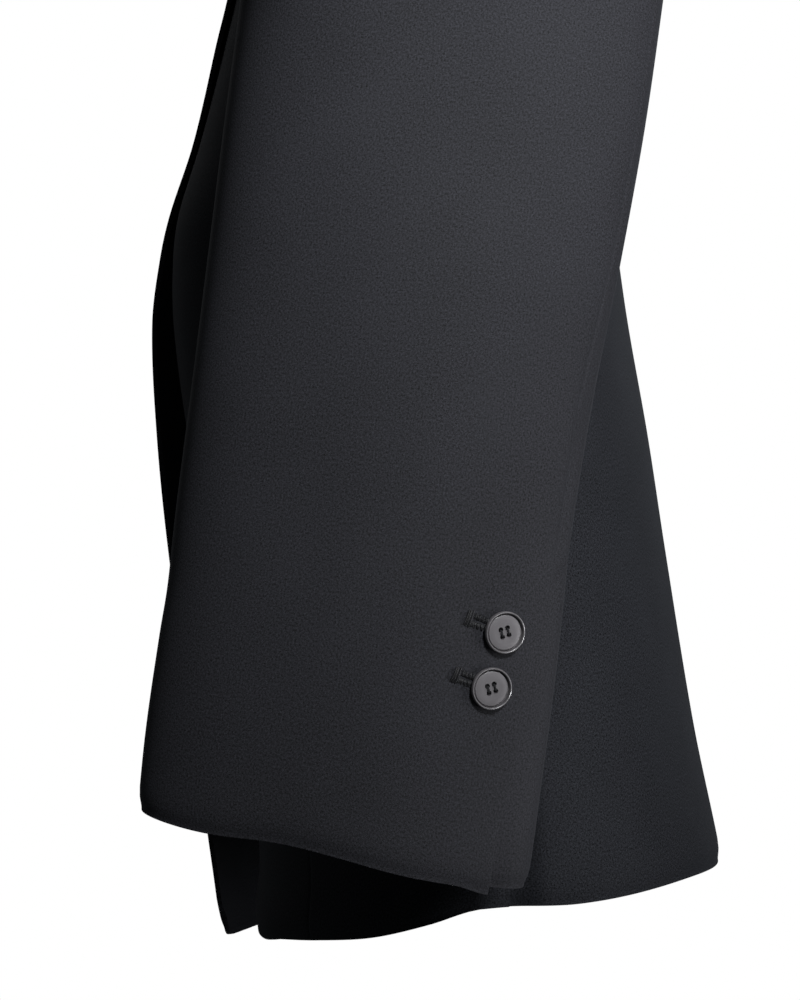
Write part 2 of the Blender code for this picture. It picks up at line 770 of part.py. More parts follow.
for hand in (1, -1):
    make_front(hand)
    make_side_front(hand)
    make_back(hand)
    make_lapel(hand)
    make_sleeve(hand)
    make_cuff_buttons(hand)
make_collar()
front_drop = drop_from_height(0.0, FRONT_BUTTON_HEIGHT)
make_button("front_button", FRONT_BUTTON, body_point(0.0, front_drop, -1),
            face_normal(body_point, 0.0, front_drop, -1), FRONT_BUTTON_SEAT)
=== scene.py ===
"""The tailored jacket as it looks, filled out with no wearer and seen from its left side.

Metres, +Z up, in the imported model's frame: the front faces -Y, the wearer's left is +X and the origin is at
the nape. As in the CAD part, the tables measure heights up from the back hem and depths from a line down
the middle of the body, and FOOT is where that line starts.
"""
import math
from functools import lru_cache

import bmesh
import bpy
import numpy as np
from mathutils import Matrix, Vector


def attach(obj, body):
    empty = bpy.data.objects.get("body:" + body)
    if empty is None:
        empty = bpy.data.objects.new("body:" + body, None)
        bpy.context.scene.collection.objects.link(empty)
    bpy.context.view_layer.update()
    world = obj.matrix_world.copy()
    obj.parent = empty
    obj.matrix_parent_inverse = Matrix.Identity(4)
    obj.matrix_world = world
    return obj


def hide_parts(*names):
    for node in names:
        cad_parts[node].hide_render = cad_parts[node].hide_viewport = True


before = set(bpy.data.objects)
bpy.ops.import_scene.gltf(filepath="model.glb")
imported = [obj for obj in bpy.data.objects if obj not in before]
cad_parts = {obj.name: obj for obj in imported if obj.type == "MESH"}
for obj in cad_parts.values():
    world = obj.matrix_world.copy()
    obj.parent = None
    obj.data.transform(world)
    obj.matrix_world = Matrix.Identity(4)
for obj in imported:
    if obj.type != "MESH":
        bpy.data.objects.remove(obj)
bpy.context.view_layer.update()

# The studio: a pale floor under the wearer's feet, which glows by itself and throws no light on the cloth,
# and a long lens a little above the hem
FLOOR_HEIGHT = -1.55
FLOOR_RADIUS = 5.0
FLOOR_SIDES = 96
FLOOR_ROUGHNESS = 0.9
FLOOR_GLOW = 0.85
PALE = (0.86, 0.86, 0.85, 1)
EYE = Vector((2.5, -0.0825, -0.494))
LOOKED_AT = Vector((0.0, -0.0825, -0.56834))
SENSOR = 36.0
METRES_PER_PIXEL = 0.00042
PICTURE_HEIGHT = 1000


def placed(name, data):
    """A new object in the scene, at the origin and unturned."""
    thing = bpy.data.objects.new(name, data)
    bpy.context.scene.collection.objects.link(thing)
    return thing


def aimed(thing, place, aim):
    """Puts the camera or a light at one place and turns it to another."""
    thing.location = place
    thing.rotation_euler = (Vector(aim) - Vector(place)).to_track_quat("-Z", "Y").to_euler()


bm = bmesh.new()
bmesh.ops.create_circle(bm, cap_ends=True, radius=FLOOR_RADIUS, segments=FLOOR_SIDES)
floor_mesh = bpy.data.meshes.new("floor")
bm.to_mesh(floor_mesh)
bm.free()
floor = placed("floor", floor_mesh)
floor.location.z = FLOOR_HEIGHT
floor_paint = bpy.data.materials.new("floor")
floor_paint.use_nodes = True
floor_shader = floor_paint.node_tree.nodes["Principled BSDF"]
floor_shader.inputs["Base Color"].default_value = PALE
floor_shader.inputs["Roughness"].default_value = FLOOR_ROUGHNESS
floor_shader.inputs["Emission Color"].default_value = PALE
floor_shader.inputs["Emission Strength"].default_value = FLOOR_GLOW
floor_mesh.materials.append(floor_paint)
floor.visible_diffuse = False
floor.visible_glossy = False

camera = placed("camera", bpy.data.cameras.new("camera"))
bpy.context.scene.camera = camera
aimed(camera, EYE, LOOKED_AT)
camera.data.sensor_fit = "VERTICAL"
camera.data.sensor_height = SENSOR
camera.data.lens = SENSOR * EYE.x / METRES_PER_PIXEL / PICTURE_HEIGHT

# The lights: a soft key above and behind the sleeve, so that what faces the front is left in shade, two weak
# ones low behind the hems, and two dim ones on the side that the photo hides
KEY_COLOUR = (0.95, 0.97, 1.0)
LOW_COLOUR = (0.97, 0.97, 1.0)
FILL_COLOUR = (0.97, 0.98, 1.0)
LIGHTS = [
    # name, place, aimed at, width, a spot's beam in degrees, watts, colour
    ("key", (1.85, 0.75, 0.75), (0.20, -0.03, -0.19), 0.5, 30, 370, KEY_COLOUR),
    ("low", (0.45, 1.15, -0.62), (0.25, 0.0, -0.62), 0.30, None, 3, LOW_COLOUR),
    ("hem", (0.55, 1.10, -1.02), (0.22, -0.02, -0.665), 0.2, 14, 16, LOW_COLOUR),
    ("front_fill", (-2.4, -0.9, 0.6), (0.0, -0.05, -0.35), 1.2, None, 3, FILL_COLOUR),
    ("back_fill", (-2.3, 0.6, 0.7), (0.0, -0.05, -0.35), 1.2, None, 12, FILL_COLOUR),
]
for name, place, aim, width, beam, watts, colour in LIGHTS:
    lamp = bpy.data.lights.new(name, "SPOT" if beam else "AREA")
    if beam:
        lamp.shadow_soft_size = width / 2
        lamp.spot_size = math.radians(beam)
        lamp.spot_blend = 1.0
    else:
        lamp.shape = "DISK"
        lamp.size = width
    lamp.energy = watts
    lamp.color = colour
    aimed(placed(name, lamp), place, aim)

# The backdrop: white to the camera, and a dim light for everything else
AMBIENT = 0.05
AMBIENT_COLOUR = (0.92, 0.96, 1.0, 1)
WHITE = (1, 1, 1, 1)
world = bpy.data.worlds.new("studio")
bpy.context.scene.world = world
world.use_nodes = True
nodes = world.node_tree.nodes
links = world.node_tree.links
dim = nodes["Background"]
dim.inputs["Color"].default_value = AMBIENT_COLOUR
dim.inputs["Strength"].default_value = AMBIENT
white = nodes.new("ShaderNodeBackground")
white.inputs["Color"].default_value = WHITE
white.inputs["Strength"].default_value = 1.0
choose = nodes.new("ShaderNodeMixShader")
rays = nodes.new("ShaderNodeLightPath")
links.new(rays.outputs["Is Camera Ray"], choose.inputs[0])
links.new(dim.outputs[0], choose.inputs[1])
links.new(white.outputs[0], choose.inputs[2])
links.new(choose.outputs[0], nodes["World Output"].inputs["Surface"])
bpy.context.scene.view_settings.view_transform = "Standard"

# Fronts: cut from the front edge or roll line to the panel seam, with the shoulder seam at the top.
# Crepe, turned in at the front edge and the hem. The right one laps over the left and hangs further forward.
HANDS = {"left": 1, "right": -1}
FOOT = Vector((0, -0.0489, -0.72))
WALL = 0.002
ROUNDNESS = 2 / 2.3
SHOULDER_HALF = 0.195
RIDGE_TOP = 0.745
RIDGE_SLOPE = 0.40
SHOULDER_ROUND = 0.12
NECK_HALF = 0.075
NECK_HEIGHT = 0.715
ARMHOLE_BOTTOM = 0.502
ARMHOLE_HALF_DEPTH = 0.062
ARMHOLE_BACKWARD = 0.004
PANEL_SEAM_TURN = math.radians(105)
PANEL_SEAM_BEND = 0.50
FRONT_JOIN = 0.78
BODY_LENGTH = 0.76
FRONT_WIDTH = 0.14
HALVINGS = 40


class Table:
    """Rows of sizes with named columns, read between the rows along smooth curves."""

    def __init__(self, columns, rows):
        self.columns = columns.split()
        self.rows = rows

    def __call__(self, column, place):
        rows = self.rows
        k = self.columns.index(column)
        if place <= rows[0][0]:
            return rows[0][k]
        if place >= rows[-1][0]:
            return rows[-1][k]
        i = max(j for j in range(len(rows) - 1) if rows[j][0] <= place)
        span = rows[i + 1][0] - rows[i][0]
        part = (place - rows[i][0]) / span
        start = self.slope(i, k) * span
        end = self.slope(i + 1, k) * span
        low = rows[i][k]
        high = rows[i + 1][k]
        return (low * (1 - 3 * part**2 + 2 * part**3) + high * (3 * part**2 - 2 * part**3)
                + start * (part - 2 * part**2 + part**3) + end * (part**3 - part**2))

    def slope(self, i, k):
        before = max(i - 1, 0)
        after = min(i + 1, len(self.rows) - 1)
        return (self.rows[after][k] - self.rows[before][k]) / (self.rows[after][0] - self.rows[before][0])


# The body's level sections. The right front laps over the left one and hangs further forward below it.
BODY = Table("height half_width front_left front_right back", [
    (-0.045, 0.1970, 0.0972, 0.1100, 0.1085),
    (-0.020, 0.1960, 0.0967, 0.1128, 0.1048),
    (0.009, 0.1945, 0.0940, 0.1168, 0.0996),
    (0.060, 0.1900, 0.1010, 0.1236, 0.0889),
    (0.131, 0.1810, 0.1140, 0.1325, 0.0772),
    (0.179, 0.1725, 0.1225, 0.1367, 0.0698),
    (0.225, 0.1635, 0.1283, 0.1381, 0.0616),
    (0.253, 0.1580, 0.1285, 0.1345, 0.0575),
    (0.271, 0.1550, 0.1262, 0.1303, 0.0552),
    (0.301, 0.1515, 0.1170, 0.1201, 0.0521),
    (0.340, 0.1485, 0.1070, 0.1109, 0.0502),
    (0.375, 0.1480, 0.0998, 0.1035, 0.0504),
    (0.410, 0.1510, 0.1018, 0.1055, 0.0545),
    (0.450, 0.1590, 0.1180, 0.1210, 0.0640),
    (0.500, 0.1680, 0.1290, 0.1320, 0.0740),
    (0.550, 0.1700, 0.1270, 0.1300, 0.0800),
    (0.610, 0.1790, 0.1170, 0.1200, 0.0810),
    (0.667, 0.1950, 0.1060, 0.1090, 0.0800),
    (0.745, 0.1950, 0.0950, 0.0980, 0.0800),
])

# Across from the centre front: the front edges (past the centre where they lap), then the roll line
FRONT_LINES = Table("height edge_left edge_right", [
    (-0.040, 0.060, 0.035),
    (0.009, 0.059, 0.034),
    (0.100, 0.046, 0.025),
    (0.180, 0.028, 0.015),
    (0.250, 0.008, 0.004),
    (0.274, 0.000, -0.001),
    (0.320, -0.013, -0.013),
    (0.370, -0.019, -0.019),
    (0.400, -0.017, -0.017),
    (0.450, 0.000, 0.000),
    (0.520, 0.025, 0.025),
    (0.600, 0.050, 0.050),
    (0.670, 0.069, 0.069),
    (0.715, 0.075, 0.075),
])

# Across from the centre front to the panel seam
PANEL_SEAM = Table("height across", [
    (-0.040, 0.148),
    (0.050, 0.140),
    (0.150, 0.122),
    (0.250, 0.103),
    (0.350, 0.093),
    (0.430, 0.098),
    (0.490, 0.115),
    (0.530, 0.137),
    (0.560, 0.156),
])

# The hem, by the turn round the body: it dips towards the front corners
HEM = Table("turn left right", [
    (0.044, -0.0180, -0.0290),
    (0.052, -0.0180, -0.0345),
    (0.065, -0.0180, -0.0365),
    (0.082, -0.0180, -0.0372),
    (0.092, -0.0225, -0.0375),
    (0.110, -0.0240, -0.0378),
    (0.140, -0.0238, -0.0380),
    (0.180, -0.0215, -0.0372),
    (0.270, -0.0180, -0.0280),
    (0.360, -0.0142, -0.0160),
    (0.440, -0.0078, -0.0078),
    (0.500, -0.0014, -0.0014),
    (0.600, -0.0003, -0.0003),
    (0.800, 0.0043, 0.0043),
    (1.000, 0.0024, 0.0024),
])


def mix(a, b, part):
    return a + (b - a) * part


def ease(part):
    part = min(max(part, 0.0), 1.0)
    return part * part * (3 - 2 * part)


def power(value, exponent):
    return math.copysign(abs(value) ** exponent, value)


def ridge_height(turn):
    """The height of the shoulder line above this turn round the body."""
    return RIDGE_TOP - RIDGE_SLOPE * SHOULDER_HALF * abs(power(math.sin(math.pi * turn), ROUNDNESS))


def drop_from_height(turn, height):
    """How far down from the shoulder line a height lies: 0 on the line, 1 where the rounding ends."""
    below = ridge_height(turn) - height
    if below < SHOULDER_ROUND:
        return math.acos(1 - max(below, 0.0) / SHOULDER_ROUND) / (math.pi / 2)
    return 1 + (below - SHOULDER_ROUND) / (SHOULDER_ROUND * math.pi / 2)


def body_point(turn, drop, side):
    """The body's outer face. Turn 0 is the centre front, 0.5 the side and 1 the centre back."""
    angle = min(drop, 1.0) * math.pi / 2
    height = ridge_height(turn) - SHOULDER_ROUND * (1 - math.cos(angle))
    height -= max(drop - 1.0, 0.0) * SHOULDER_ROUND * math.pi / 2
    across = power(math.sin(math.pi * turn), ROUNDNESS)
    along = power(math.cos(math.pi * turn), ROUNDNESS)
    front = "front_left" if side > 0 else "front_right"
    depth = BODY(front, height) if along > 0 else BODY("back", height)
    return Vector((side * BODY("half_width", height) * across, -depth * along * math.sin(angle), height))


def turn_at(across, height, back=False):
    """The turn at which the body is this far across from its middle line."""
    ratio = min(abs(across) / BODY("half_width", height), 1.0)
    turn = math.asin(ratio ** (1 / ROUNDNESS)) / math.pi
    if back:
        return 1 - turn
    return math.copysign(turn, across)


@lru_cache(maxsize=None)
def armhole(angle, side):
    """The armhole's line on the body. Angle 0 is the shoulder's tip, a quarter turn the front."""
    tip = ridge_height(0.5)
    middle = (tip + ARMHOLE_BOTTOM) / 2
    height = middle + (tip - ARMHOLE_BOTTOM) / 2 * math.cos(angle)
    depth = ARMHOLE_BACKWARD * (1 - math.cos(angle)) / 2 - ARMHOLE_HALF_DEPTH * math.sin(angle)
    low, high = (0.5, 0.0) if depth < 0 else (0.5, 1.0)
    for _ in range(HALVINGS):
        turn = (low + high) / 2
        if abs(body_point(turn, drop_from_height(turn, height), side).y) < abs(depth):
            low = turn
        else:
            high = turn
    return turn, drop_from_height(turn, height)


# The body's paint: the sleeves' crepe in a darker colour, which is painted shade on the body panels. The
# yarns are under a millimetre and show in both colour and height
BODY_SHADED_COLOUR = (0.0175, 0.0184, 0.0216)
BODY_GLOSS = 0.10
CREPE_ROUGHNESS = 0.78
NAP = 0.03
NAP_SPREAD = 0.35
NAP_TINT = (0.62, 0.70, 0.82, 1)
YARNS_PER_METRE = 1500.0
YARN_DETAIL = 3.0
YARN_STRETCH = (1.0, 0.72, 1.0)
YARN_SHARE = 0.6
PICKS_PER_YARN = 1.7
PICK_DETAIL = 2.0
PICK_STRETCH = (0.45, 1.0, 1.0)
CLOUDS_PER_METRE = 14.0
CLOUD_DETAIL = 2.0
EVEN = (1.0, 1.0, 1.0)
CLOUD_CONTRAST = 0.10
GRAIN_RAGGEDNESS = 0.6
GRAIN_CONTRAST = 1.0
GRAIN_DARKEST = 0.34
GRAIN_LIGHTEST = 0.66
YARN_HEIGHT = 0.00028
YARN_RELIEF = 0.5


def suiting(name, colour, gloss):
    """Fine matt wool crepe: pebbly yarns, faint cloudiness and a soft nap at grazing angles."""
    paint = bpy.data.materials.new(name)
    paint.use_nodes = True
    nodes = paint.node_tree.nodes
    links = paint.node_tree.links
    shader = nodes["Principled BSDF"]
    shader.inputs["Roughness"].default_value = CREPE_ROUGHNESS
    shader.inputs["Specular IOR Level"].default_value = gloss
    shader.inputs["Sheen Weight"].default_value = NAP
    shader.inputs["Sheen Roughness"].default_value = NAP_SPREAD
    shader.inputs["Sheen Tint"].default_value = NAP_TINT
    place = nodes.new("ShaderNodeTexCoord")

    def noise(per_metre, detail, stretch):
        stretched = nodes.new("ShaderNodeMapping")
        stretched.inputs["Scale"].default_value = stretch
        links.new(place.outputs["UV"], stretched.inputs["Vector"])
        grain = nodes.new("ShaderNodeTexNoise")
        grain.inputs["Scale"].default_value = per_metre
        grain.inputs["Detail"].default_value = detail
        grain.inputs["Roughness"].default_value = GRAIN_RAGGEDNESS
        links.new(stretched.outputs["Vector"], grain.inputs["Vector"])
        return grain.outputs["Fac"]

    def blended(kind, first, second):
        node = nodes.new("ShaderNodeMath")
        node.operation = kind
        for k, value in enumerate((first, second)):
            if isinstance(value, float):
                node.inputs[k].default_value = value
            else:
                links.new(value, node.inputs[k])
        return node.outputs[0]

    yarns = noise(YARNS_PER_METRE, YARN_DETAIL, YARN_STRETCH)
    picks = noise(YARNS_PER_METRE * PICKS_PER_YARN, PICK_DETAIL, PICK_STRETCH)
    clouds = noise(CLOUDS_PER_METRE, CLOUD_DETAIL, EVEN)
    pebbles = blended("MULTIPLY", yarns, YARN_SHARE)
    surface = blended("ADD", pebbles, blended("MULTIPLY", picks, 1 - YARN_SHARE))
    ramp = nodes.new("ShaderNodeValToRGB")
    ramp.color_ramp.elements[0].position = GRAIN_DARKEST
    ramp.color_ramp.elements[1].position = GRAIN_LIGHTEST
    ramp.color_ramp.elements[0].color = (*[c * (1 - GRAIN_CONTRAST) for c in colour], 1)
    ramp.color_ramp.elements[1].color = (*[c * (1 + GRAIN_CONTRAST) for c in colour], 1)
    cloudy = blended("MULTIPLY", blended("SUBTRACT", clouds, 0.5), CLOUD_CONTRAST)
    links.new(blended("ADD", surface, cloudy), ramp.inputs["Fac"])
    links.new(ramp.outputs["Color"], shader.inputs["Base Color"])
    bump = nodes.new("ShaderNodeBump")
    bump.inputs["Distance"].default_value = YARN_HEIGHT
    bump.inputs["Strength"].default_value = YARN_RELIEF
    links.new(surface, bump.inputs["Height"])
    links.new(bump.outputs["Normal"], shader.inputs["Normal"])
    return paint


# The body's crepe is painted darker than the sleeves' to stand for shade on the body panels
shaded_body_paint = suiting("suiting_body_painted_shade", BODY_SHADED_COLOUR, BODY_GLOSS)

# The body's soft creases: each runs between two places and rises (or sinks) smoothly across its
# width. The places are turns round the body and heights, and BODY_TURN is about a turn's length
BODY_CREASES = [
    # from turn, from height, to turn, to height, half width, rise
    (0.04, 0.392, 0.24, 0.430, 0.010, 0.0012),
    (0.05, 0.378, 0.22, 0.345, 0.011, 0.0010),
    (0.16, 0.400, 0.42, 0.395, 0.012, -0.0012),
    (0.60, 0.395, 0.97, 0.408, 0.013, 0.0016),
    (0.56, 0.372, 0.90, 0.365, 0.014, -0.0012),
    (0.60, 0.500, 0.66, 0.600, 0.014, 0.0024),
    (0.68, 0.500, 0.72, 0.620, 0.018, -0.0014),
    (0.38, 0.500, 0.33, 0.580, 0.012, 0.0016),
]
BODY_TURN = 0.56
CREASE_FADE = 0.35
CREASE_END = 0.35


def creased(a, b, creases, scale_a, scale_b, wrap=None):
    """How far the cloth stands out at a place on the sleeve or the body."""
    rise = 0.0
    for a0, b0, a1, b1, half_width, height in creases:
        da = a - a0
        if wrap:
            da = (da + wrap / 2) % wrap - wrap / 2
        x = da * scale_a
        y = (b - b0) * scale_b
        lx = (a1 - a0) * scale_a
        ly = (b1 - b0) * scale_b
        along = (x * lx + y * ly) / (lx * lx + ly * ly)
        ends = max(-along, along - 1, 0.0) * math.hypot(lx, ly)
        off = (x * ly - y * lx) / math.hypot(lx, ly)
        fade = 1 - CREASE_FADE * min(max(along, 0.0), 1.0)
        rise += height * fade * math.exp(-(off**2 + CREASE_END * ends**2) / half_width**2)
    return rise


def body_relief(turn, height):
    return creased(abs(turn), height, BODY_CREASES, BODY_TURN, 1.0)


# Every cloth piece is a fine grid on the form, closer together at its edges, rolled in along its sewn seams
# and its hem, and given its wall and rounded edges last
FINE_STEPS = (0.0, 0.0004, 0.0009, 0.0016, 0.0026, 0.0038, 0.0054)
STEP = 0.0040
SEAM_SINK = 0.0005
SEAM_ROLL = 0.0011
HEM_SINK = 0.0015
HEM_ROLL = 0.0042
VENT_CLOSES = 0.010
FOLD_WIDTH = 0.0040
EDGE_ROUND = 0.0007
EDGE_SEGMENTS = 3
EDGE_ANGLE = math.radians(50)


def spaced(length):
    """Places along a length as parts of it: fine at both ends and even between."""
    count = max(round((length - 2 * FINE_STEPS[-1]) / STEP), 2)
    middle = [FINE_STEPS[-1] + (length - 2 * FINE_STEPS[-1]) * k / count for k in range(count + 1)]
    places = set(FINE_STEPS) | {length - x for x in FINE_STEPS} | set(middle)
    return sorted({round(x / length, 9) for x in places})


def grid_normals(points, side):
    along_u = np.gradient(points, axis=1)
    along_v = np.gradient(points, axis=0)
    normal = np.cross(along_u, along_v) * side
    return normal / np.maximum(np.linalg.norm(normal, axis=2, keepdims=True), 1e-12)


def arc(points, axis):
    """The distance of each point of a grid from its first one, along the rows or up the columns."""
    steps = np.linalg.norm(np.diff(points, axis=axis), axis=2)
    start = np.zeros_like(np.take(steps, [0], axis=axis))
    return np.cumsum(np.concatenate([start, steps], axis=axis), axis=axis)


def shell(name, points, side, paint):
    """A cloth wall inwards from a grid of points, with rounded edges, its UVs in metres along the grain."""
    rows, columns = points.shape[:2]
    across = arc(points, 1)
    upward = arc(points, 0)
    middle = columns // 2
    bm = bmesh.new()
    bmesh.ops.create_grid(bm, x_segments=columns - 1, y_segments=rows - 1, size=0.5, calc_uvs=True)
    uv = bm.loops.layers.uv.verify()
    spots = {}
    for vert in bm.verts:
        spots[vert] = (round((vert.co.y + 0.5) * (rows - 1)), round((vert.co.x + 0.5) * (columns - 1)))
    for face in bm.faces:
        face.smooth = True
        for loop in face.loops:
            j, i = spots[loop.vert]
            loop[uv].uv = (across[j, i] - across[j, middle], upward[j, middle])
    for vert, (j, i) in spots.items():
        vert.co = Vector(points[j, i]) + FOOT
    if side < 0:
        bmesh.ops.reverse_faces(bm, faces=bm.faces)
    mesh = bpy.data.meshes.new(name)
    bm.to_mesh(mesh)
    bm.free()
    mesh.materials.append(paint)
    piece = placed(name, mesh)
    thick = piece.modifiers.new("wall", "SOLIDIFY")
    thick.thickness = WALL
    thick.offset = -1
    edge = piece.modifiers.new("edge", "BEVEL")
    edge.width = EDGE_ROUND
    edge.segments = EDGE_SEGMENTS
    edge.limit_method = "ANGLE"
    edge.angle_limit = EDGE_ANGLE
    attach(piece, "root")
    return piece


def patch(surface, side, edges, columns, rows, sewn, relief, sink=None, vent=None, stands=0.0,
          pull=(1.0, 1.0)):
    """The outer face of one cut piece: a grid inside four edge lines, with its creases and seams.

    A vent is an edge that is sewn above a height only: below it the turned-in edge stands proud, or sinks.
    The larger a pull is, the less the left or the top edge's bends reach into the piece.
    """
    left, right, bottom, top = edges
    lefts = [left(v) for v in rows]
    rights = [right(v) for v in rows]
    bottoms = [bottom(u) for u in columns]
    tops = [top(u) for u in columns]
    corners = [left(0), right(0), left(1), right(1)]
    points = np.zeros((len(rows), len(columns), 3))
    raised = np.zeros((len(rows), len(columns)))
    for j, v in enumerate(rows):
        for i, u in enumerate(columns):
            place = []
            for k in (0, 1):
                low = mix(corners[0][k], corners[1][k], u)
                high = mix(corners[2][k], corners[3][k], u)
                first = mix(corners[0][k], corners[2][k], v)
                last = mix(corners[1][k], corners[3][k], v)
                bent = (lefts[j][k] - first) * (1 - u) ** pull[0] + (rights[j][k] - last) * u
                bent += (bottoms[i][k] - low) * (1 - v) + (tops[i][k] - high) * v ** pull[1]
                place.append(mix(low, high, v) + bent)
            point = surface(*place, side)
            points[j, i] = point
            raised[j, i] += relief(place[0], point.z if surface is body_point else place[1])
            if sink:
                raised[j, i] -= sink(*place)
    across = arc(points, 1)
    upward = arc(points, 0)
    distances = {
        "left": across,
        "right": across[:, -1:] - across,
        "top": upward[-1:, :] - upward,
    }
    for name in sewn:
        held = 1.0
        if vent and name == vent[0]:
            held = np.clip((points[:, :, 2] - vent[1]) / VENT_CLOSES, 0.0, 1.0)
        raised -= SEAM_SINK * held * np.exp(-(distances[name] / SEAM_ROLL) ** 2)
        raised += stands * (1 - held) * np.exp(-(distances[name] / FOLD_WIDTH) ** 2)
    raised -= HEM_SINK * np.exp(-(upward / HEM_ROLL) ** 2)
    return points + grid_normals(points, side) * raised[:, :, None]


def declare(name):
    """Hides the CAD part that a cloth piece stands for."""
    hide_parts(name)


def side_name(side):
    return "left" if side > 0 else "right"


def hem_place(turn, side):
    return turn, drop_from_height(turn, HEM(side_name(side), turn))


def front_line(side):
    """From the hem's front corner up the front edge and the roll line to the neck."""
    column = "edge_" + side_name(side)
    neck = turn_at(NECK_HALF, NECK_HEIGHT)
    foot = HEM(side_name(side), turn_at(FRONT_LINES(column, 0.0), 0.0))

    def line(v):
        height = mix(foot, ridge_height(neck), v)
        turn = turn_at(FRONT_LINES(column, height), height)
        return turn, drop_from_height(turn, height)
    return line


def panel_seam_line(side):
    """From the hem up the panel seam to the armhole."""
    turn, drop = armhole(PANEL_SEAM_TURN, side)
    top = body_point(turn, drop, side).z
    short = turn - turn_at(PANEL_SEAM("across", top), top)
    foot = HEM(side_name(side), turn_at(PANEL_SEAM("across", 0.0), 0.0))

    def line(v):
        height = mix(foot, top, v)
        bend = ease((height - PANEL_SEAM_BEND) / (top - PANEL_SEAM_BEND))
        place = turn_at(PANEL_SEAM("across", height), height) + short * bend
        return place, drop_from_height(place, height)
    return line


def armhole_line(start, end, side):
    def line(v):
        return armhole(mix(start, end, v), side)
    return line


def joined(lower, upper, join):
    """Two lines end to end, the first up to the given part of the whole."""
    def line(v):
        if v <= join:
            return lower(v / join)
        return upper((v - join) / (1 - join))
    return line


def hem_line(left, right, side):
    def line(u):
        return hem_place(mix(left(0)[0], right(0)[0], u), side)
    return line


def shoulder_line(start, end):
    def line(u):
        return mix(start, end, u), 0.0
    return line


for name, side in HANDS.items():
    left = front_line(side)
    right = joined(panel_seam_line(side), armhole_line(PANEL_SEAM_TURN, 0.0, side), FRONT_JOIN)
    edges = (left, right, hem_line(left, right, side), shoulder_line(left(1)[0], 0.5))
    points = patch(body_point, side, edges, spaced(FRONT_WIDTH), spaced(BODY_LENGTH), ("right", "top"),
                   body_relief)
    front = shell(f"front_{name}_cloth", points, side, shaded_body_paint)
    declare(f"front_{name}")

# Side fronts: the narrow panels under the arms, from the panel seam to the side seam.
# Crepe, sewn to the front and the back, with the underarm's curve at the top.
SIDE_SEAM = 0.52
SIDE_SEAM_TURN = math.radians(180)
SIDE_SEAM_BEND = 0.30
SIDE_FRONT_WIDTH = 0.10
SIDE_VENT_TOP = 0.20
SIDE_VENT_TUCK = -0.0010


def side_seam_line(side):
    turn, drop = armhole(SIDE_SEAM_TURN, side)
    top = body_point(turn, drop, side).z

    def line(v):
        height = mix(HEM(side_name(side), SIDE_SEAM), top, v)
        place = mix(SIDE_SEAM, turn, ease((height - SIDE_SEAM_BEND) / (top - SIDE_SEAM_BEND)))
        return place, drop_from_height(place, height)
    return line


for name, side in HANDS.items():
    left = panel_seam_line(side)
    right = side_seam_line(side)
    edges = (left, right, hem_line(left, right, side), armhole_line(PANEL_SEAM_TURN, SIDE_SEAM_TURN, side))
    points = patch(body_point, side, edges, spaced(SIDE_FRONT_WIDTH), spaced(BODY_LENGTH * FRONT_JOIN),
                   ("left", "right", "top"), body_relief, vent=("right", SIDE_VENT_TOP),
                   stands=SIDE_VENT_TUCK)
    side_front = shell(f"side_front_{name}_cloth", points, side, shaded_body_paint)
    declare(f"side_front_{name}")

# Backs: from the side seam to the centre-back seam, with a vent at the side seam that laps under the side
# front. Crepe, shaped by the centre-back seam and flared below the waist.
BACK_LENGTH = 0.72
BACK_WIDTH = 0.24
BACK_NECK_CORNER = 0.60
BACK_JOIN = 0.70
BACK_PULL = (1.5, 4.0)
SIDE_RADIUS = 0.19
TURN_PER_METRE = 1 / (SIDE_RADIUS * math.pi)
SIDE_VENT_LAP = 0.014
SIDE_VENT_START = 0.050
SIDE_VENT_EASE = 0.026
SIDE_VENT_SINK = 0.0055
VENT_RISE = 0.030
for name, side in HANDS.items():
    seam = side_seam_line(side)
    neck_turn = 1 - turn_at(NECK_HALF, NECK_HEIGHT)

    def vent_seam(v):
        turn, drop = seam(v)
        height = body_point(turn, drop, side).z
        turn -= SIDE_VENT_LAP * TURN_PER_METRE * ease((SIDE_VENT_TOP - height) / SIDE_VENT_START)
        return turn, drop_from_height(turn, height)

    def vent_sink(turn, drop):
        height = body_point(turn, drop, side).z
        near = 1 - ease((turn - SIDE_SEAM) / (SIDE_VENT_EASE * TURN_PER_METRE))
        return SIDE_VENT_SINK * near * ease((SIDE_VENT_TOP + 2 * VENT_RISE - height) / VENT_RISE)

    def centre_back(v):
        height = mix(HEM(side_name(side), 1.0), BACK_LENGTH, v)
        return 1.0, drop_from_height(1.0, height)

    def back_top(u):
        if u <= BACK_NECK_CORNER:
            return mix(0.5, neck_turn, u / BACK_NECK_CORNER), 0.0
        part = (u - BACK_NECK_CORNER) / (1 - BACK_NECK_CORNER)
        turn = mix(neck_turn, 1.0, part)
        height = mix(ridge_height(neck_turn), BACK_LENGTH, ease(part))
        return turn, drop_from_height(turn, height)

    left = joined(vent_seam, armhole_line(SIDE_SEAM_TURN, 2 * math.pi, side), BACK_JOIN)
    edges = (left, centre_back, hem_line(left, centre_back, side), back_top)
    points = patch(body_point, side, edges, spaced(BACK_WIDTH), spaced(BODY_LENGTH),
                   ("left", "right", "top"), body_relief, sink=vent_sink, pull=BACK_PULL)
    back = shell(f"back_{name}_cloth", points, side, shaded_body_paint)
    declare(f"back_{name}")
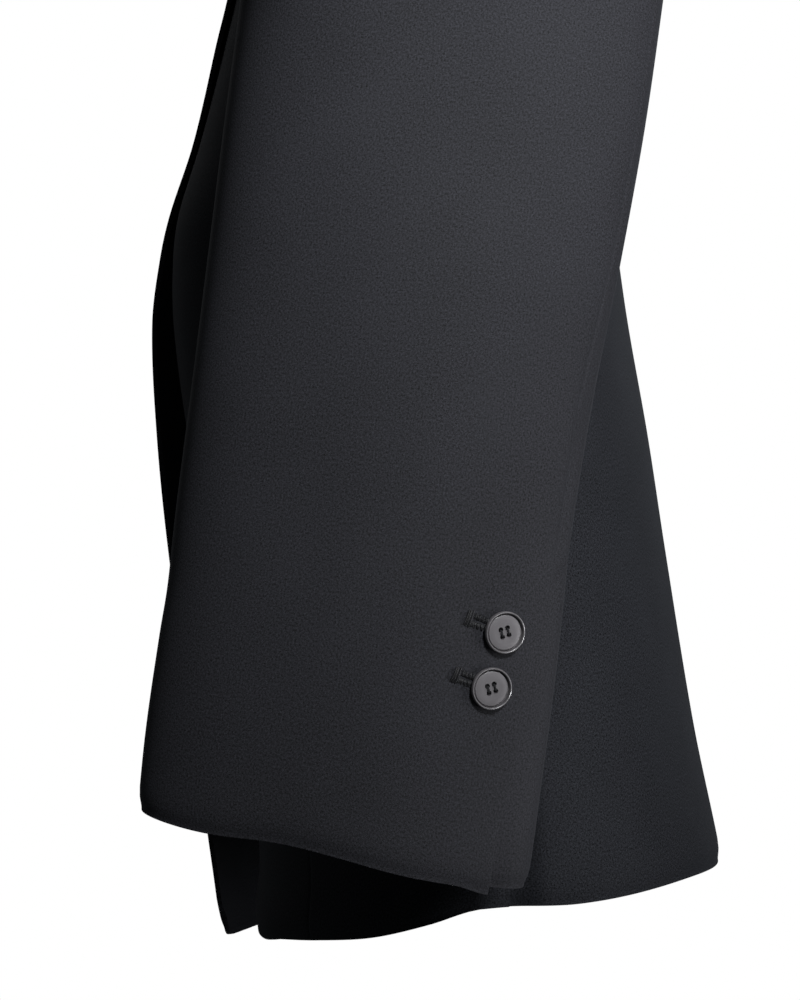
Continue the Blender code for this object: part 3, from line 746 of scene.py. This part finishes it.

# Top sleeves: the outer of the two pieces of each sleeve, from the fore seam round the arm to the hind seam.
# Crepe, lapped over the under sleeve below the cuff vent's top and turned up at the hem.
# The sleeves keep the crepe's own colour; the body's paint is a darker copy of it, as painted shade
SLEEVE_COLOUR = (0.0205, 0.0206, 0.0250)
SLEEVE_GLOSS = 0.35
SLEEVE_LENGTH = 0.66
SLEEVE_FIT = 0.12
SLEEVE_STANDS_OFF = -0.0012
TOP_SLEEVE_WIDTH = 0.24
CUFF_VENT_TOP = 0.140
CUFF_VENT_STANDS = 0.0003
HEM_DRAWN_UP = 0.0034
HEM_DRAWN_AT = -10.0
HEM_DRAWN_WIDTH = 20.0
HEM_CORNER_DIP = 0.0019
HEM_DIP_START = 34.0
HEM_DIP_END = 51.0
sleeve_paint = suiting("suiting_sleeves", SLEEVE_COLOUR, SLEEVE_GLOSS)

# The sleeve's rings, from the armhole to the cuff: where each passes outermost and innermost, its middle and
# half its size from front to back, how far its front end rises, and how far its outer side drops
SLEEVE = Table("part out_x out_height in_x in_height middle half rise drop", [
    (0.00, 0.195, 0.667, 0.168, 0.502, 0.002, 0.062, 0.000, 0.000),
    (0.04, 0.219, 0.668, 0.175, 0.495, 0.002, 0.067, 0.000, 0.000),
    (0.09, 0.245, 0.652, 0.181, 0.488, 0.001, 0.073, 0.000, 0.000),
    (0.15, 0.267, 0.618, 0.186, 0.481, 0.001, 0.078, 0.000, 0.000),
    (0.22, 0.280, 0.572, 0.189, 0.471, 0.000, 0.081, 0.000, 0.000),
    (0.31, 0.286, 0.514, 0.191, 0.455, -0.001, 0.082, 0.000, 0.000),
    (0.40, 0.287, 0.450, 0.192, 0.430, -0.003, 0.0815, 0.000, 0.000),
    (0.54, 0.284, 0.349, 0.194, 0.349, -0.014, 0.0801, 0.000, 0.000),
    (0.61, 0.282, 0.300, 0.195, 0.300, -0.0206, 0.0799, 0.000, 0.000),
    (0.68, 0.280, 0.250, 0.196, 0.250, -0.0282, 0.0784, 0.001, 0.000),
    (0.75, 0.278, 0.200, 0.198, 0.200, -0.0364, 0.0764, 0.002, 0.000),
    (0.82, 0.275, 0.150, 0.199, 0.150, -0.0437, 0.0753, 0.004, 0.001),
    (0.86, 0.274, 0.120, 0.200, 0.120, -0.0470, 0.0751, 0.006, 0.0015),
    (0.89, 0.273, 0.100, 0.201, 0.100, -0.0497, 0.0754, 0.008, 0.002),
    (0.95, 0.271, 0.060, 0.202, 0.060, -0.0552, 0.0752, 0.012, 0.003),
    (1.00, 0.270, 0.0262, 0.203, 0.0262, -0.0593, 0.0743, 0.015, 0.0032),
    (1.03, 0.2694, 0.0059, 0.2036, 0.0059, -0.0618, 0.0738, 0.0168, 0.0033),
])

# The sleeve's two seams, as turns round it in degrees: 0 is outermost, 90 is backmost
SLEEVE_SEAMS = Table("part hind fore", [
    (0.00, 75.0, -120),
    (0.40, 72.0, -121),
    (0.66, 71.5, -122),
    (0.75, 67.0, -123),
    (0.815, 67.5, -124),
    (0.85, 61.5, -124),
    (0.875, 57.3, -124),
    (0.94, 54.2, -124),
    (0.97, 50.5, -124),
    (1.00, 51.0, -124),
])

# The sleeve's soft creases. SLEEVE_DEGREE is about a degree's length round the sleeve
SLEEVE_CREASES = [
    # from turn, from part, to turn, to part, half width, rise
    (29.0, 0.857, 38.0, 0.852, 0.0048, -0.0011),
    (4.0, 0.70, 8.0, 1.06, 0.028, 0.0036),
    (80.0, 0.66, 78.0, 1.04, 0.0040, 0.0007),
    (-20.0, 0.47, 40.0, 0.52, 0.030, 0.0012),
    (10.0, 0.30, 62.0, 0.38, 0.016, 0.0022),
    (18.0, 0.36, 66.0, 0.42, 0.013, -0.0016),
    (-95.0, 0.46, -45.0, 0.50, 0.011, -0.0022),
    (-98.0, 0.51, -50.0, 0.53, 0.010, 0.0016),
    (-92.0, 0.42, -50.0, 0.45, 0.012, 0.0018),
    (-60.0, 0.10, -30.0, 0.26, 0.014, 0.0016),
    (62.0, 0.10, 50.0, 0.26, 0.014, 0.0020),
]
SLEEVE_DEGREE = 0.0013


def sleeve_relief(turn, part):
    return creased(math.degrees(turn), part, SLEEVE_CREASES, SLEEVE_DEGREE, SLEEVE_LENGTH, 360.0)


def ring_point(turn, part, side):
    """The sleeve's outer face, not yet fitted to the armhole. Turn 0 is outermost, a quarter backmost."""
    outer = power(math.cos(turn), ROUNDNESS)
    back = power(math.sin(turn), ROUNDNESS)
    middle_x = (SLEEVE("out_x", part) + SLEEVE("in_x", part)) / 2
    middle_height = (SLEEVE("out_height", part) + SLEEVE("in_height", part)) / 2
    half_x = (SLEEVE("out_x", part) - SLEEVE("in_x", part)) / 2
    half_height = (SLEEVE("out_height", part) - SLEEVE("in_height", part)) / 2
    height = middle_height + half_height * outer
    height += -SLEEVE("rise", part) * back - SLEEVE("drop", part) * outer
    depth = SLEEVE("middle", part) + SLEEVE("half", part) * back
    return Vector((side * (middle_x + half_x * outer), depth, height))


def sleeve_point(turn, part, side):
    """The sleeve's outer face, which starts along the armhole's line and leaves it within a hand's width."""
    point = ring_point(turn, part, side)
    if part < SLEEVE_FIT:
        seam = body_point(*armhole(-turn, side), side) + Vector((side * SLEEVE_STANDS_OFF, 0, 0))
        point += (seam - ring_point(turn, 0.0, side)) * (1 - ease(part / SLEEVE_FIT))
    return point


def sleeve_seam(column, shift=0.0):
    """From the cuff up a seam to the armhole."""
    return lambda v: (math.radians(SLEEVE_SEAMS(column, 1 - v)) + shift, 1 - v)


def sleeve_across(start, end, part):
    """Round the sleeve from one seam to the other."""
    return lambda u: (mix(start(1 - part)[0], end(1 - part)[0], u), part)


def cuff_hem(start, end):
    """The top sleeve's hem: drawn up a little in front of its middle, and dipping to the vent's corner."""
    def line(u):
        turn = mix(start(0)[0], end(0)[0], u)
        off = (math.degrees(turn) - HEM_DRAWN_AT) / HEM_DRAWN_WIDTH
        up = HEM_DRAWN_UP * math.exp(-off * off)
        down = HEM_CORNER_DIP * ease((math.degrees(turn) - HEM_DIP_START) / (HEM_DIP_END - HEM_DIP_START))
        return turn, 1.0 - (up - down) / SLEEVE_LENGTH
    return line


for name, side in HANDS.items():
    fore = sleeve_seam("fore")
    hind = sleeve_seam("hind")
    edges = (fore, hind, cuff_hem(fore, hind), sleeve_across(fore, hind, 0.0))
    points = patch(sleeve_point, side, edges, spaced(TOP_SLEEVE_WIDTH), spaced(SLEEVE_LENGTH),
                   ("left", "right"), sleeve_relief, vent=("right", CUFF_VENT_TOP), stands=CUFF_VENT_STANDS)
    top_sleeve = shell(f"top_sleeve_{name}_cloth", points, side, sleeve_paint)
    declare(f"top_sleeve_{name}")

# Under sleeves: the inner piece of each sleeve, narrower, from the hind seam under the arm to the fore seam.
# Crepe; its strip below the vent's top lies behind the top sleeve and carries the buttons' shanks.
UNDER_SLEEVE_WIDTH = 0.19
UNDER_SLEEVE_END = 0.9990
CUFF_VENT_LAP = 0.016
VENT_RUN = 0.014
VENT_SINK = 0.0030
SMALL_TURN = 0.01


def reach(turn, part, side):
    """How far the sleeve's face runs for each unit of turn."""
    ahead = sleeve_point(turn + SMALL_TURN, part, side)
    return (ahead - sleeve_point(turn, part, side)).length / SMALL_TURN


for name, side in HANDS.items():
    def under_hind(v):
        part = 1 - v
        turn = math.radians(SLEEVE_SEAMS("hind", part))
        height = sleeve_point(turn, part, side).z
        lap = CUFF_VENT_LAP / reach(turn, part, side) * ease((CUFF_VENT_TOP - height) / VENT_RUN)
        return turn - lap, part

    def cuff_sink(turn, part):
        part = max(part, 0.0)
        seam_turn = math.radians(SLEEVE_SEAMS("hind", part))
        past = (turn - seam_turn) * reach(turn, part, side)
        height = sleeve_point(turn, part, side).z
        near = 1 - ease(past / VENT_RUN)
        return VENT_SINK * near * ease((CUFF_VENT_TOP + 2 * VENT_RISE - height) / VENT_RISE)

    under_fore = sleeve_seam("fore", 2 * math.pi)
    edges = (under_hind, under_fore, sleeve_across(under_hind, under_fore, UNDER_SLEEVE_END),
             sleeve_across(under_hind, under_fore, 0.0))
    points = patch(sleeve_point, side, edges, spaced(UNDER_SLEEVE_WIDTH), spaced(SLEEVE_LENGTH),
                   ("left", "right"), sleeve_relief, sink=cuff_sink)
    under_sleeve = shell(f"under_sleeve_{name}_cloth", points, side, sleeve_paint)
    declare(f"under_sleeve_{name}")

# Lapels: the fronts' facings, turned back along the roll line and lying on the fronts.
# Crepe, one fold over the front's edge and a clean edge all round; the collar's ends meet them at the gorge.
LAPEL = Table("part roll_height edge_height width", [
    (0.00, 0.412, 0.410, 0.006),
    (0.20, 0.456, 0.442, 0.024),
    (0.50, 0.530, 0.500, 0.049),
    (0.80, 0.610, 0.562, 0.069),
    (1.00, 0.664, 0.606, 0.078),
])

# Where each lapel starts along its roll line and its outer edge: the left one starts where it comes clear of
# the right front that laps over it
LAPEL_START = {"left": (0.20, 0.12), "right": (0.0, 0.0)}
LAPEL_STANDS_OFF = 0.002
LAPEL_ROWS = 0.27
LAPEL_WIDTH = 0.06
LAY_GAP = 0.0013
ROLL_RADIUS = WALL + LAY_GAP
ROLL_CENTRE = 0.0012
ROLL_STEPS = 9
ROLL_UNDER = math.radians(200)
TINY = 1e-4


def face_normal(surface, a, b, side):
    """The outward direction of a surface of two values, by small steps each way."""
    along_a = surface(a + TINY, b, side) - surface(a - TINY, b, side)
    along_b = surface(a, b + TINY, side) - surface(a, max(b - TINY, 0.0), side)
    return along_b.cross(along_a).normalized() * side


for name, side in HANDS.items():
    column = "edge_" + name
    start_roll, start_edge = LAPEL_START[name]
    section = []
    for k in range(ROLL_STEPS):
        angle = mix(ROLL_UNDER, math.pi / 2, k / (ROLL_STEPS - 1))
        section.append((0.0, ROLL_CENTRE + ROLL_RADIUS * math.cos(angle), ROLL_RADIUS * math.sin(angle)))
    section += [(u, LAPEL_STANDS_OFF, ROLL_RADIUS) for u in spaced(LAPEL_WIDTH)]
    rows = spaced(LAPEL_ROWS)
    points = np.zeros((len(rows), len(section), 3))
    for j, v in enumerate(rows):
        for i, (u, offset, lift) in enumerate(section):
            down = mix(mix(start_roll, start_edge, u), 1.0, v)
            roll = LAPEL("roll_height", down)
            height = mix(roll, LAPEL("edge_height", down), u)
            turn = turn_at(FRONT_LINES(column, roll) + offset + LAPEL("width", down) * u, height)
            drop = drop_from_height(turn, height)
            normal = face_normal(body_point, turn, drop, side)
            points[j, i] = body_point(turn, drop, side) + normal * (lift + body_relief(turn, height))
    lapel = shell(f"lapel_{name}_cloth", points, side, shaded_body_paint)
    declare(f"lapel_{name}")

# Collar: one piece of crepe round the neck, standing up from the neck seam and folded over on itself.
# Its fall lies on the shoulders and its ends come down to the lapels.
COLLAR = Table("turn base_x base_y base_height stand fall_x fall_y", [
    (0.00, 0.0000, 0.0450, 0.7225, 0.030, 0.0000, 0.0668),
    (0.20, 0.0260, 0.0410, 0.7220, 0.030, 0.0340, 0.0597),
    (0.40, 0.0520, 0.0270, 0.7195, 0.028, 0.0720, 0.0440),
    (0.55, 0.0690, 0.0040, 0.7175, 0.024, 0.1010, 0.0120),
    (0.70, 0.0715, -0.0240, 0.7110, 0.016, 0.1100, -0.0230),
    (0.85, 0.0695, -0.0520, 0.6990, 0.010, 0.1100, -0.0530),
    (1.00, 0.0670, -0.0800, 0.6810, 0.005, 0.1035, -0.0820),
])
COLLAR_CLEARANCE = 0.0012
COLLAR_ROWS = 90
STAND_STEPS = 6
FALL_STEPS = 24
FALL_SPREAD = 1.4
FOLD_RISE = 0.004
FOLD_END = 0.30
FALL_LIES = 0.85


def shoulder_height(across, depth, side):
    """The height of the body's outer face over a place in plan."""
    low, high = ARMHOLE_BOTTOM, RIDGE_TOP
    for _ in range(HALVINGS):
        height = (low + high) / 2
        turn = turn_at(across, height, depth > 0)
        if height >= ridge_height(turn):
            high = height
            continue
        point = body_point(turn, drop_from_height(turn, height), side)
        if abs(point.y) > abs(depth):
            low = height
        else:
            high = height
    return low


def collar_section(turn, side):
    """Points from the neck seam up the stand, over the fold and down the fall to its edge."""
    base = Vector((side * COLLAR("base_x", turn), COLLAR("base_y", turn), COLLAR("base_height", turn)))
    edge = Vector((side * COLLAR("fall_x", turn), COLLAR("fall_y", turn), 0))
    stand = COLLAR("stand", turn)
    points = [base + Vector((0, 0, stand * k / STAND_STEPS)) for k in range(STAND_STEPS)]
    for k in range(FALL_STEPS + 1):
        part = (k / FALL_STEPS) ** FALL_SPREAD
        plan = base.lerp(edge, part)
        lying = shoulder_height(abs(plan.x), plan.y, side) + WALL + COLLAR_CLEARANCE
        fold = base.z + stand + FOLD_RISE * math.sin(math.pi * min(part / FOLD_END, 1.0))
        points.append(Vector((plan.x, plan.y, max(mix(fold, lying, ease(part / FALL_LIES)), lying))))
    return points


points = np.zeros((2 * COLLAR_ROWS + 1, STAND_STEPS + FALL_STEPS + 1, 3))
for j in range(-COLLAR_ROWS, COLLAR_ROWS + 1):
    points[j + COLLAR_ROWS] = collar_section(abs(j) / COLLAR_ROWS, -1 if j < 0 else 1)
collar = shell("collar_cloth", points, -1, shaded_body_paint)
declare("collar")

# Cuff buttons: two on each sleeve, turned and dished with a raised rim and four holes.
# Dark satin plastic, sewn through both layers of the vent with two parallel stitches of black thread.
CUFF_BUTTON = 0.0161
CUFF_BUTTON_SEAT = 0.0004

# The height of each on the sleeve, and its distance from the vent's edge
CUFF_BUTTONS = {"upper": (0.1100, 0.0136), "lower": (0.0889, 0.0141)}

# From the back's edge round the rim, down the groove and in across the dish, as parts of the radius and of
# the thickness
BUTTON_SECTION = [
    # out, up
    (0.78, 0.00), (0.90, 0.05), (0.97, 0.20), (1.00, 0.45), (0.997, 0.74), (0.985, 0.90), (0.965, 0.98),
    (0.940, 1.00), (0.917, 0.96), (0.903, 0.86), (0.895, 0.62), (0.882, 0.38), (0.858, 0.32), (0.838, 0.36),
    (0.828, 0.52), (0.815, 0.62), (0.790, 0.650), (0.50, 0.640), (0.00, 0.625),
]
BUTTON_THICKNESS = 0.17
BUTTON_STEPS = 96
HOLE_RADIUS = 0.122
HOLE_SPREAD = 0.243
HOLE_LEAN = math.radians(16)
HOLES = 4
HOLE_SIDES = 24
DRILL_LENGTH = 4
MERGED = 1e-6
SHARP_ANGLE = math.radians(35)
BUTTON_COLOUR = (0.150, 0.141, 0.146)
BUTTON_GLOSS = 1.0
BUTTON_COAT = 0.6
BUTTON_COAT_ROUGHNESS = 0.10
BUTTON_MOTTLE = (0.85, 1.15)
BUTTON_CLOUDS_PER_METRE = 160.0
BUTTON_CLOUD_DETAIL = 3.0
BUTTON_DULLEST = 0.46
BUTTON_SHINIEST = 0.34
MARKS_PER_METRE = 2600.0
MARK_HEIGHT = 0.00002
MARK_RELIEF = 0.4

# The stitches: two strands side by side over each pair of holes, bowed a little and sunk in at their ends
THREAD_COLOUR = (0.006, 0.006, 0.007)
THREAD_ROUGHNESS = 0.55
THREAD_NAP = 0.1
THREAD_MOTTLE = (0.5, 2.0)
PLIES_PER_METRE = 4000.0
PLY_DETAIL = 2.0
THREAD_SIDES = 6
STRAND = 0.00022
STRANDS = 2
STRAND_STEPS = 10
STRAND_PITCH = 1.5
STRAND_LIFT = 1.2
STRAND_BOW = 0.25
STRAND_INSET = 0.03
STRAND_SINKS = 0.0009
DISH_HEIGHT = 0.64


def mottled(name, per_metre, detail, colour, darkest, lightest):
    """A paint with fine patches, from the darkest to the lightest share of its colour."""
    paint = bpy.data.materials.new(name)
    paint.use_nodes = True
    nodes = paint.node_tree.nodes
    links = paint.node_tree.links
    place = nodes.new("ShaderNodeTexCoord")
    patches = nodes.new("ShaderNodeTexNoise")
    patches.inputs["Scale"].default_value = per_metre
    patches.inputs["Detail"].default_value = detail
    links.new(place.outputs["Object"], patches.inputs["Vector"])
    ramp = nodes.new("ShaderNodeValToRGB")
    ramp.color_ramp.elements[0].color = (*[c * darkest for c in colour], 1)
    ramp.color_ramp.elements[1].color = (*[c * lightest for c in colour], 1)
    links.new(patches.outputs["Fac"], ramp.inputs["Fac"])
    links.new(ramp.outputs["Color"], nodes["Principled BSDF"].inputs["Base Color"])
    return paint, place, patches


def plastic(name, colour):
    """Satin plastic, a little cloudy in colour and polish, with fine marks from its turning."""
    paint, place, clouds = mottled(name, BUTTON_CLOUDS_PER_METRE, BUTTON_CLOUD_DETAIL, colour,
                                   *BUTTON_MOTTLE)
    nodes = paint.node_tree.nodes
    links = paint.node_tree.links
    shader = nodes["Principled BSDF"]
    shader.inputs["Specular IOR Level"].default_value = BUTTON_GLOSS
    shader.inputs["Coat Weight"].default_value = BUTTON_COAT
    shader.inputs["Coat Roughness"].default_value = BUTTON_COAT_ROUGHNESS
    polish = nodes.new("ShaderNodeMapRange")
    polish.inputs["To Min"].default_value = BUTTON_SHINIEST
    polish.inputs["To Max"].default_value = BUTTON_DULLEST
    links.new(clouds.outputs["Fac"], polish.inputs["Value"])
    links.new(polish.outputs["Result"], shader.inputs["Roughness"])
    marks = nodes.new("ShaderNodeTexNoise")
    marks.inputs["Scale"].default_value = MARKS_PER_METRE
    links.new(place.outputs["Object"], marks.inputs["Vector"])
    bump = nodes.new("ShaderNodeBump")
    bump.inputs["Distance"].default_value = MARK_HEIGHT
    bump.inputs["Strength"].default_value = MARK_RELIEF
    links.new(marks.outputs["Fac"], bump.inputs["Height"])
    links.new(bump.outputs["Normal"], shader.inputs["Normal"])
    return paint


def thread_paint(name, colour):
    """Twisted thread, with fine light and dark plies."""
    paint = mottled(name, PLIES_PER_METRE, PLY_DETAIL, colour, *THREAD_MOTTLE)[0]
    shader = paint.node_tree.nodes["Principled BSDF"]
    shader.inputs["Roughness"].default_value = THREAD_ROUGHNESS
    shader.inputs["Sheen Weight"].default_value = THREAD_NAP
    return paint


button_paint = plastic("button", BUTTON_COLOUR)
black_thread = thread_paint("thread", THREAD_COLOUR)


def piece_from(bm, name, paint):
    """A finished piece from a mesh that is already in place."""
    for face in bm.faces:
        face.smooth = True
    mesh = bpy.data.meshes.new(name)
    bm.to_mesh(mesh)
    bm.free()
    mesh.set_sharp_from_angle(angle=SHARP_ANGLE)
    mesh.materials.append(paint)
    piece = placed(name, mesh)
    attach(piece, "root")
    return piece


def tube(bm, line, radius):
    """A thread along a line of points, with closed ends."""
    rings = []
    for k, point in enumerate(line):
        along = (line[min(k + 1, len(line) - 1)] - line[max(k - 1, 0)]).normalized()
        if rings:
            first = (first - along * first.dot(along)).normalized()
        else:
            first = along.orthogonal().normalized()
        second = along.cross(first)
        ring = []
        for s in range(THREAD_SIDES):
            a = 2 * math.pi * s / THREAD_SIDES
            ring.append(bm.verts.new(point + radius * (first * math.cos(a) + second * math.sin(a))))
        rings.append(ring)
    for a, b in zip(rings, rings[1:]):
        for s in range(THREAD_SIDES):
            after = (s + 1) % THREAD_SIDES
            bm.faces.new((a[s], a[after], b[after], b[s]))
    bm.faces.new(rings[0][::-1])
    bm.faces.new(rings[-1])


def seated(point, normal):
    """The frame of a button: out along the cloth's normal, with its own Y as near upright as it can be."""
    up = (Vector((0, 0, 1)) - normal * normal.z).normalized()
    right = up.cross(normal)
    turn = Matrix((right, up, normal)).transposed().to_4x4()
    return Matrix.Translation(point + FOOT) @ turn


def cut_through(piece, drills):
    """Drills the holes, keeping the drilled mesh alone."""
    for drill in drills:
        hole = piece.modifiers.new("hole", "BOOLEAN")
        hole.operation = "DIFFERENCE"
        hole.object = drill
    drilled = bpy.data.meshes.new_from_object(piece.evaluated_get(bpy.context.evaluated_depsgraph_get()))
    piece.modifiers.clear()
    old = piece.data
    piece.data = drilled
    drilled.name = old.name + "_drilled"
    bpy.data.meshes.remove(old)
    for drill in drills:
        bpy.data.objects.remove(drill)


def make_button(node, diameter, place, lean):
    """The button that stands for a CAD node, and the stitches through it."""
    half = diameter / 2
    thick = diameter * BUTTON_THICKNESS
    bm = bmesh.new()
    line = [bm.verts.new((0, 0, 0))] + [bm.verts.new((half * x, 0, thick * z)) for x, z in BUTTON_SECTION]
    for a, b in zip(line, line[1:]):
        bm.edges.new((a, b))
    bmesh.ops.spin(bm, geom=bm.verts[:] + bm.edges[:], axis=(0, 0, 1), cent=(0, 0, 0), angle=2 * math.pi,
                   steps=BUTTON_STEPS, use_merge=True)
    bmesh.ops.remove_doubles(bm, verts=bm.verts, dist=MERGED)
    bmesh.ops.recalc_face_normals(bm, faces=bm.faces)
    bmesh.ops.transform(bm, matrix=place, verts=bm.verts)
    button = piece_from(bm, node + "_detail", button_paint)
    drills = []
    spots = []
    for k in range(HOLES):
        angle = (k + 0.5) * 2 * math.pi / HOLES + lean
        spot = Vector((half * HOLE_SPREAD * math.cos(angle), half * HOLE_SPREAD * math.sin(angle), 0))
        spots.append(spot)
        bm = bmesh.new()
        bmesh.ops.create_cone(bm, cap_ends=True, segments=HOLE_SIDES, radius1=half * HOLE_RADIUS,
                              radius2=half * HOLE_RADIUS, depth=thick * DRILL_LENGTH)
        bmesh.ops.transform(bm, matrix=place @ Matrix.Translation(spot), verts=bm.verts)
        mesh = bpy.data.meshes.new("drill")
        bm.to_mesh(mesh)
        bm.free()
        drills.append(placed("drill", mesh))
    cut_through(button, drills)
    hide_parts(node)
    bm = bmesh.new()
    aside = Matrix.Rotation(lean, 4, "Z") @ Vector((1, 0, 0))
    face = thick * DISH_HEIGHT
    for high, low in ((spots[0], spots[3]), (spots[1], spots[2])):
        for k in range(STRANDS):
            shift = aside * STRAND * STRAND_PITCH * (k - (STRANDS - 1) / 2)
            strand = []
            for s in range(STRAND_STEPS + 1):
                part = s / STRAND_STEPS
                rise = face + STRAND * STRAND_LIFT + STRAND_BOW * STRAND * math.sin(math.pi * part)
                if s in (0, STRAND_STEPS):
                    rise = face - STRAND_SINKS
                along = mix(STRAND_INSET, 1 - STRAND_INSET, part)
                strand.append(place @ (high.lerp(low, along) + shift + Vector((0, 0, rise))))
            tube(bm, strand, STRAND)
    piece_from(bm, node + "_thread", black_thread)


def cuff_place(which, side):
    """Where a cuff button sits: its turn and part on the sleeve."""
    height, inset = CUFF_BUTTONS[which]
    low, high = 0.5, 1.0
    for _ in range(HALVINGS):
        part = (low + high) / 2
        seam = math.radians(SLEEVE_SEAMS("hind", part))
        ahead = sleeve_point(seam - SMALL_TURN, part, side)
        turn = seam - SMALL_TURN * inset / (sleeve_point(seam, part, side) - ahead).length
        if sleeve_point(turn, part, side).z > height:
            low = part
        else:
            high = part
    return turn, part


for name, side in HANDS.items():
    for which in CUFF_BUTTONS:
        turn, part = cuff_place(which, side)
        normal = face_normal(sleeve_point, turn, part, side)
        point = sleeve_point(turn, part, side) + normal * CUFF_BUTTON_SEAT
        make_button(f"cuff_button_{name}_{which}", CUFF_BUTTON, seated(point, normal), side * HOLE_LEAN)

# Front button: closes the right front over the left one at the waist.
# The same make as the cuff buttons, and larger.
FRONT_BUTTON = 0.020
FRONT_BUTTON_SEAT = 0.0013
FRONT_BUTTON_HEIGHT = 0.388
front_drop = drop_from_height(0.0, FRONT_BUTTON_HEIGHT)
normal = face_normal(body_point, 0.0, front_drop, -1)
point = body_point(0.0, front_drop, -1) + normal * FRONT_BUTTON_SEAT
make_button("front_button", FRONT_BUTTON, seated(point, normal), 0.0)

# Cuff buttonholes: worked in close satin stitches on the top sleeve beside each button, with a bar across the
# end away from the vent. Black thread, on the cloth's face.
HOLE_LENGTH = 0.0127
HOLE_SLOPE = math.radians(22.5)
RAIL_INNER = 0.0005
RAIL_OUTER = 0.0024
RAIL_RISE = 0.00055
RAIL_PITCH = 0.00046
RAIL_THREAD = 0.00028
RAIL_WAVE = 2.3
BAR_HALF = 0.0030
BAR_THREADS = 5
BAR_PITCH = 0.00045
BAR_RISE = 1.5
BAR_WAVE = 2.9
UNEVEN = 0.11
THREAD_STEPS = 6
THREAD_LIFT = 0.3
THREAD_CROWN = 0.6


def on_sleeve(turn, part, side, right, up, lift):
    """A point so far to the right of a place on the sleeve, so far above it and so far off the cloth.

    The way there is the sum of two ways along the sleeve's face, round it and down it.
    """
    here = sleeve_point(turn, part, side)
    round_it = (sleeve_point(turn + TINY, part, side) - here) / TINY
    down_it = (sleeve_point(turn, part + TINY, side) - here) / TINY
    normal = face_normal(sleeve_point, turn, part, side)
    upward = (Vector((0, 0, 1)) - normal * normal.z).normalized()
    wanted = upward.cross(normal) * right + upward * up
    a = round_it.dot(round_it)
    b = round_it.dot(down_it)
    c = down_it.dot(down_it)
    d = wanted.dot(round_it)
    e = wanted.dot(down_it)
    new_turn = turn + (d * c - e * b) / (a * c - b * b)
    new_part = part + (a * e - b * d) / (a * c - b * b)
    new_normal = face_normal(sleeve_point, new_turn, new_part, side)
    off = new_normal * (lift + sleeve_relief(new_turn, new_part))
    return sleeve_point(new_turn, new_part, side) + off + FOOT


for name, side in HANDS.items():
    for which in CUFF_BUTTONS:
        turn, part = cuff_place(which, side)
        bm = bmesh.new()

        def thread(start, end, rise):
            line = []
            for s in range(THREAD_STEPS + 1):
                t = s / THREAD_STEPS
                along = mix(start[0], end[0], t)
                aside = mix(start[1], end[1], t)
                right = -side * (along * math.cos(HOLE_SLOPE) - aside * math.sin(HOLE_SLOPE))
                up = along * math.sin(HOLE_SLOPE) + aside * math.cos(HOLE_SLOPE)
                lift = RAIL_THREAD * THREAD_LIFT + rise * math.sin(math.pi * t) ** THREAD_CROWN
                line.append(on_sleeve(turn, part, side, right, up, lift))
            tube(bm, line, RAIL_THREAD)

        for k in range(int(HOLE_LENGTH / RAIL_PITCH)):
            along = k * RAIL_PITCH
            for flank in (-1, 1):
                wave = UNEVEN * math.sin(RAIL_WAVE * k + flank)
                outer = (along + wave * RAIL_OUTER, flank * RAIL_OUTER * (1 + wave))
                thread((along, flank * RAIL_INNER), outer, RAIL_RISE * (1 - wave))
        for k in range(BAR_THREADS):
            along = HOLE_LENGTH + k * BAR_PITCH
            wave = UNEVEN * math.sin(BAR_WAVE * k + 1)
            thread((along, -BAR_HALF * (1 + wave)), (along + wave * BAR_HALF, BAR_HALF * (1 - wave)),
                   RAIL_RISE * (BAR_RISE + 2 * wave))
        piece_from(bm, f"cuff_buttonhole_{name}_{which}", black_thread)
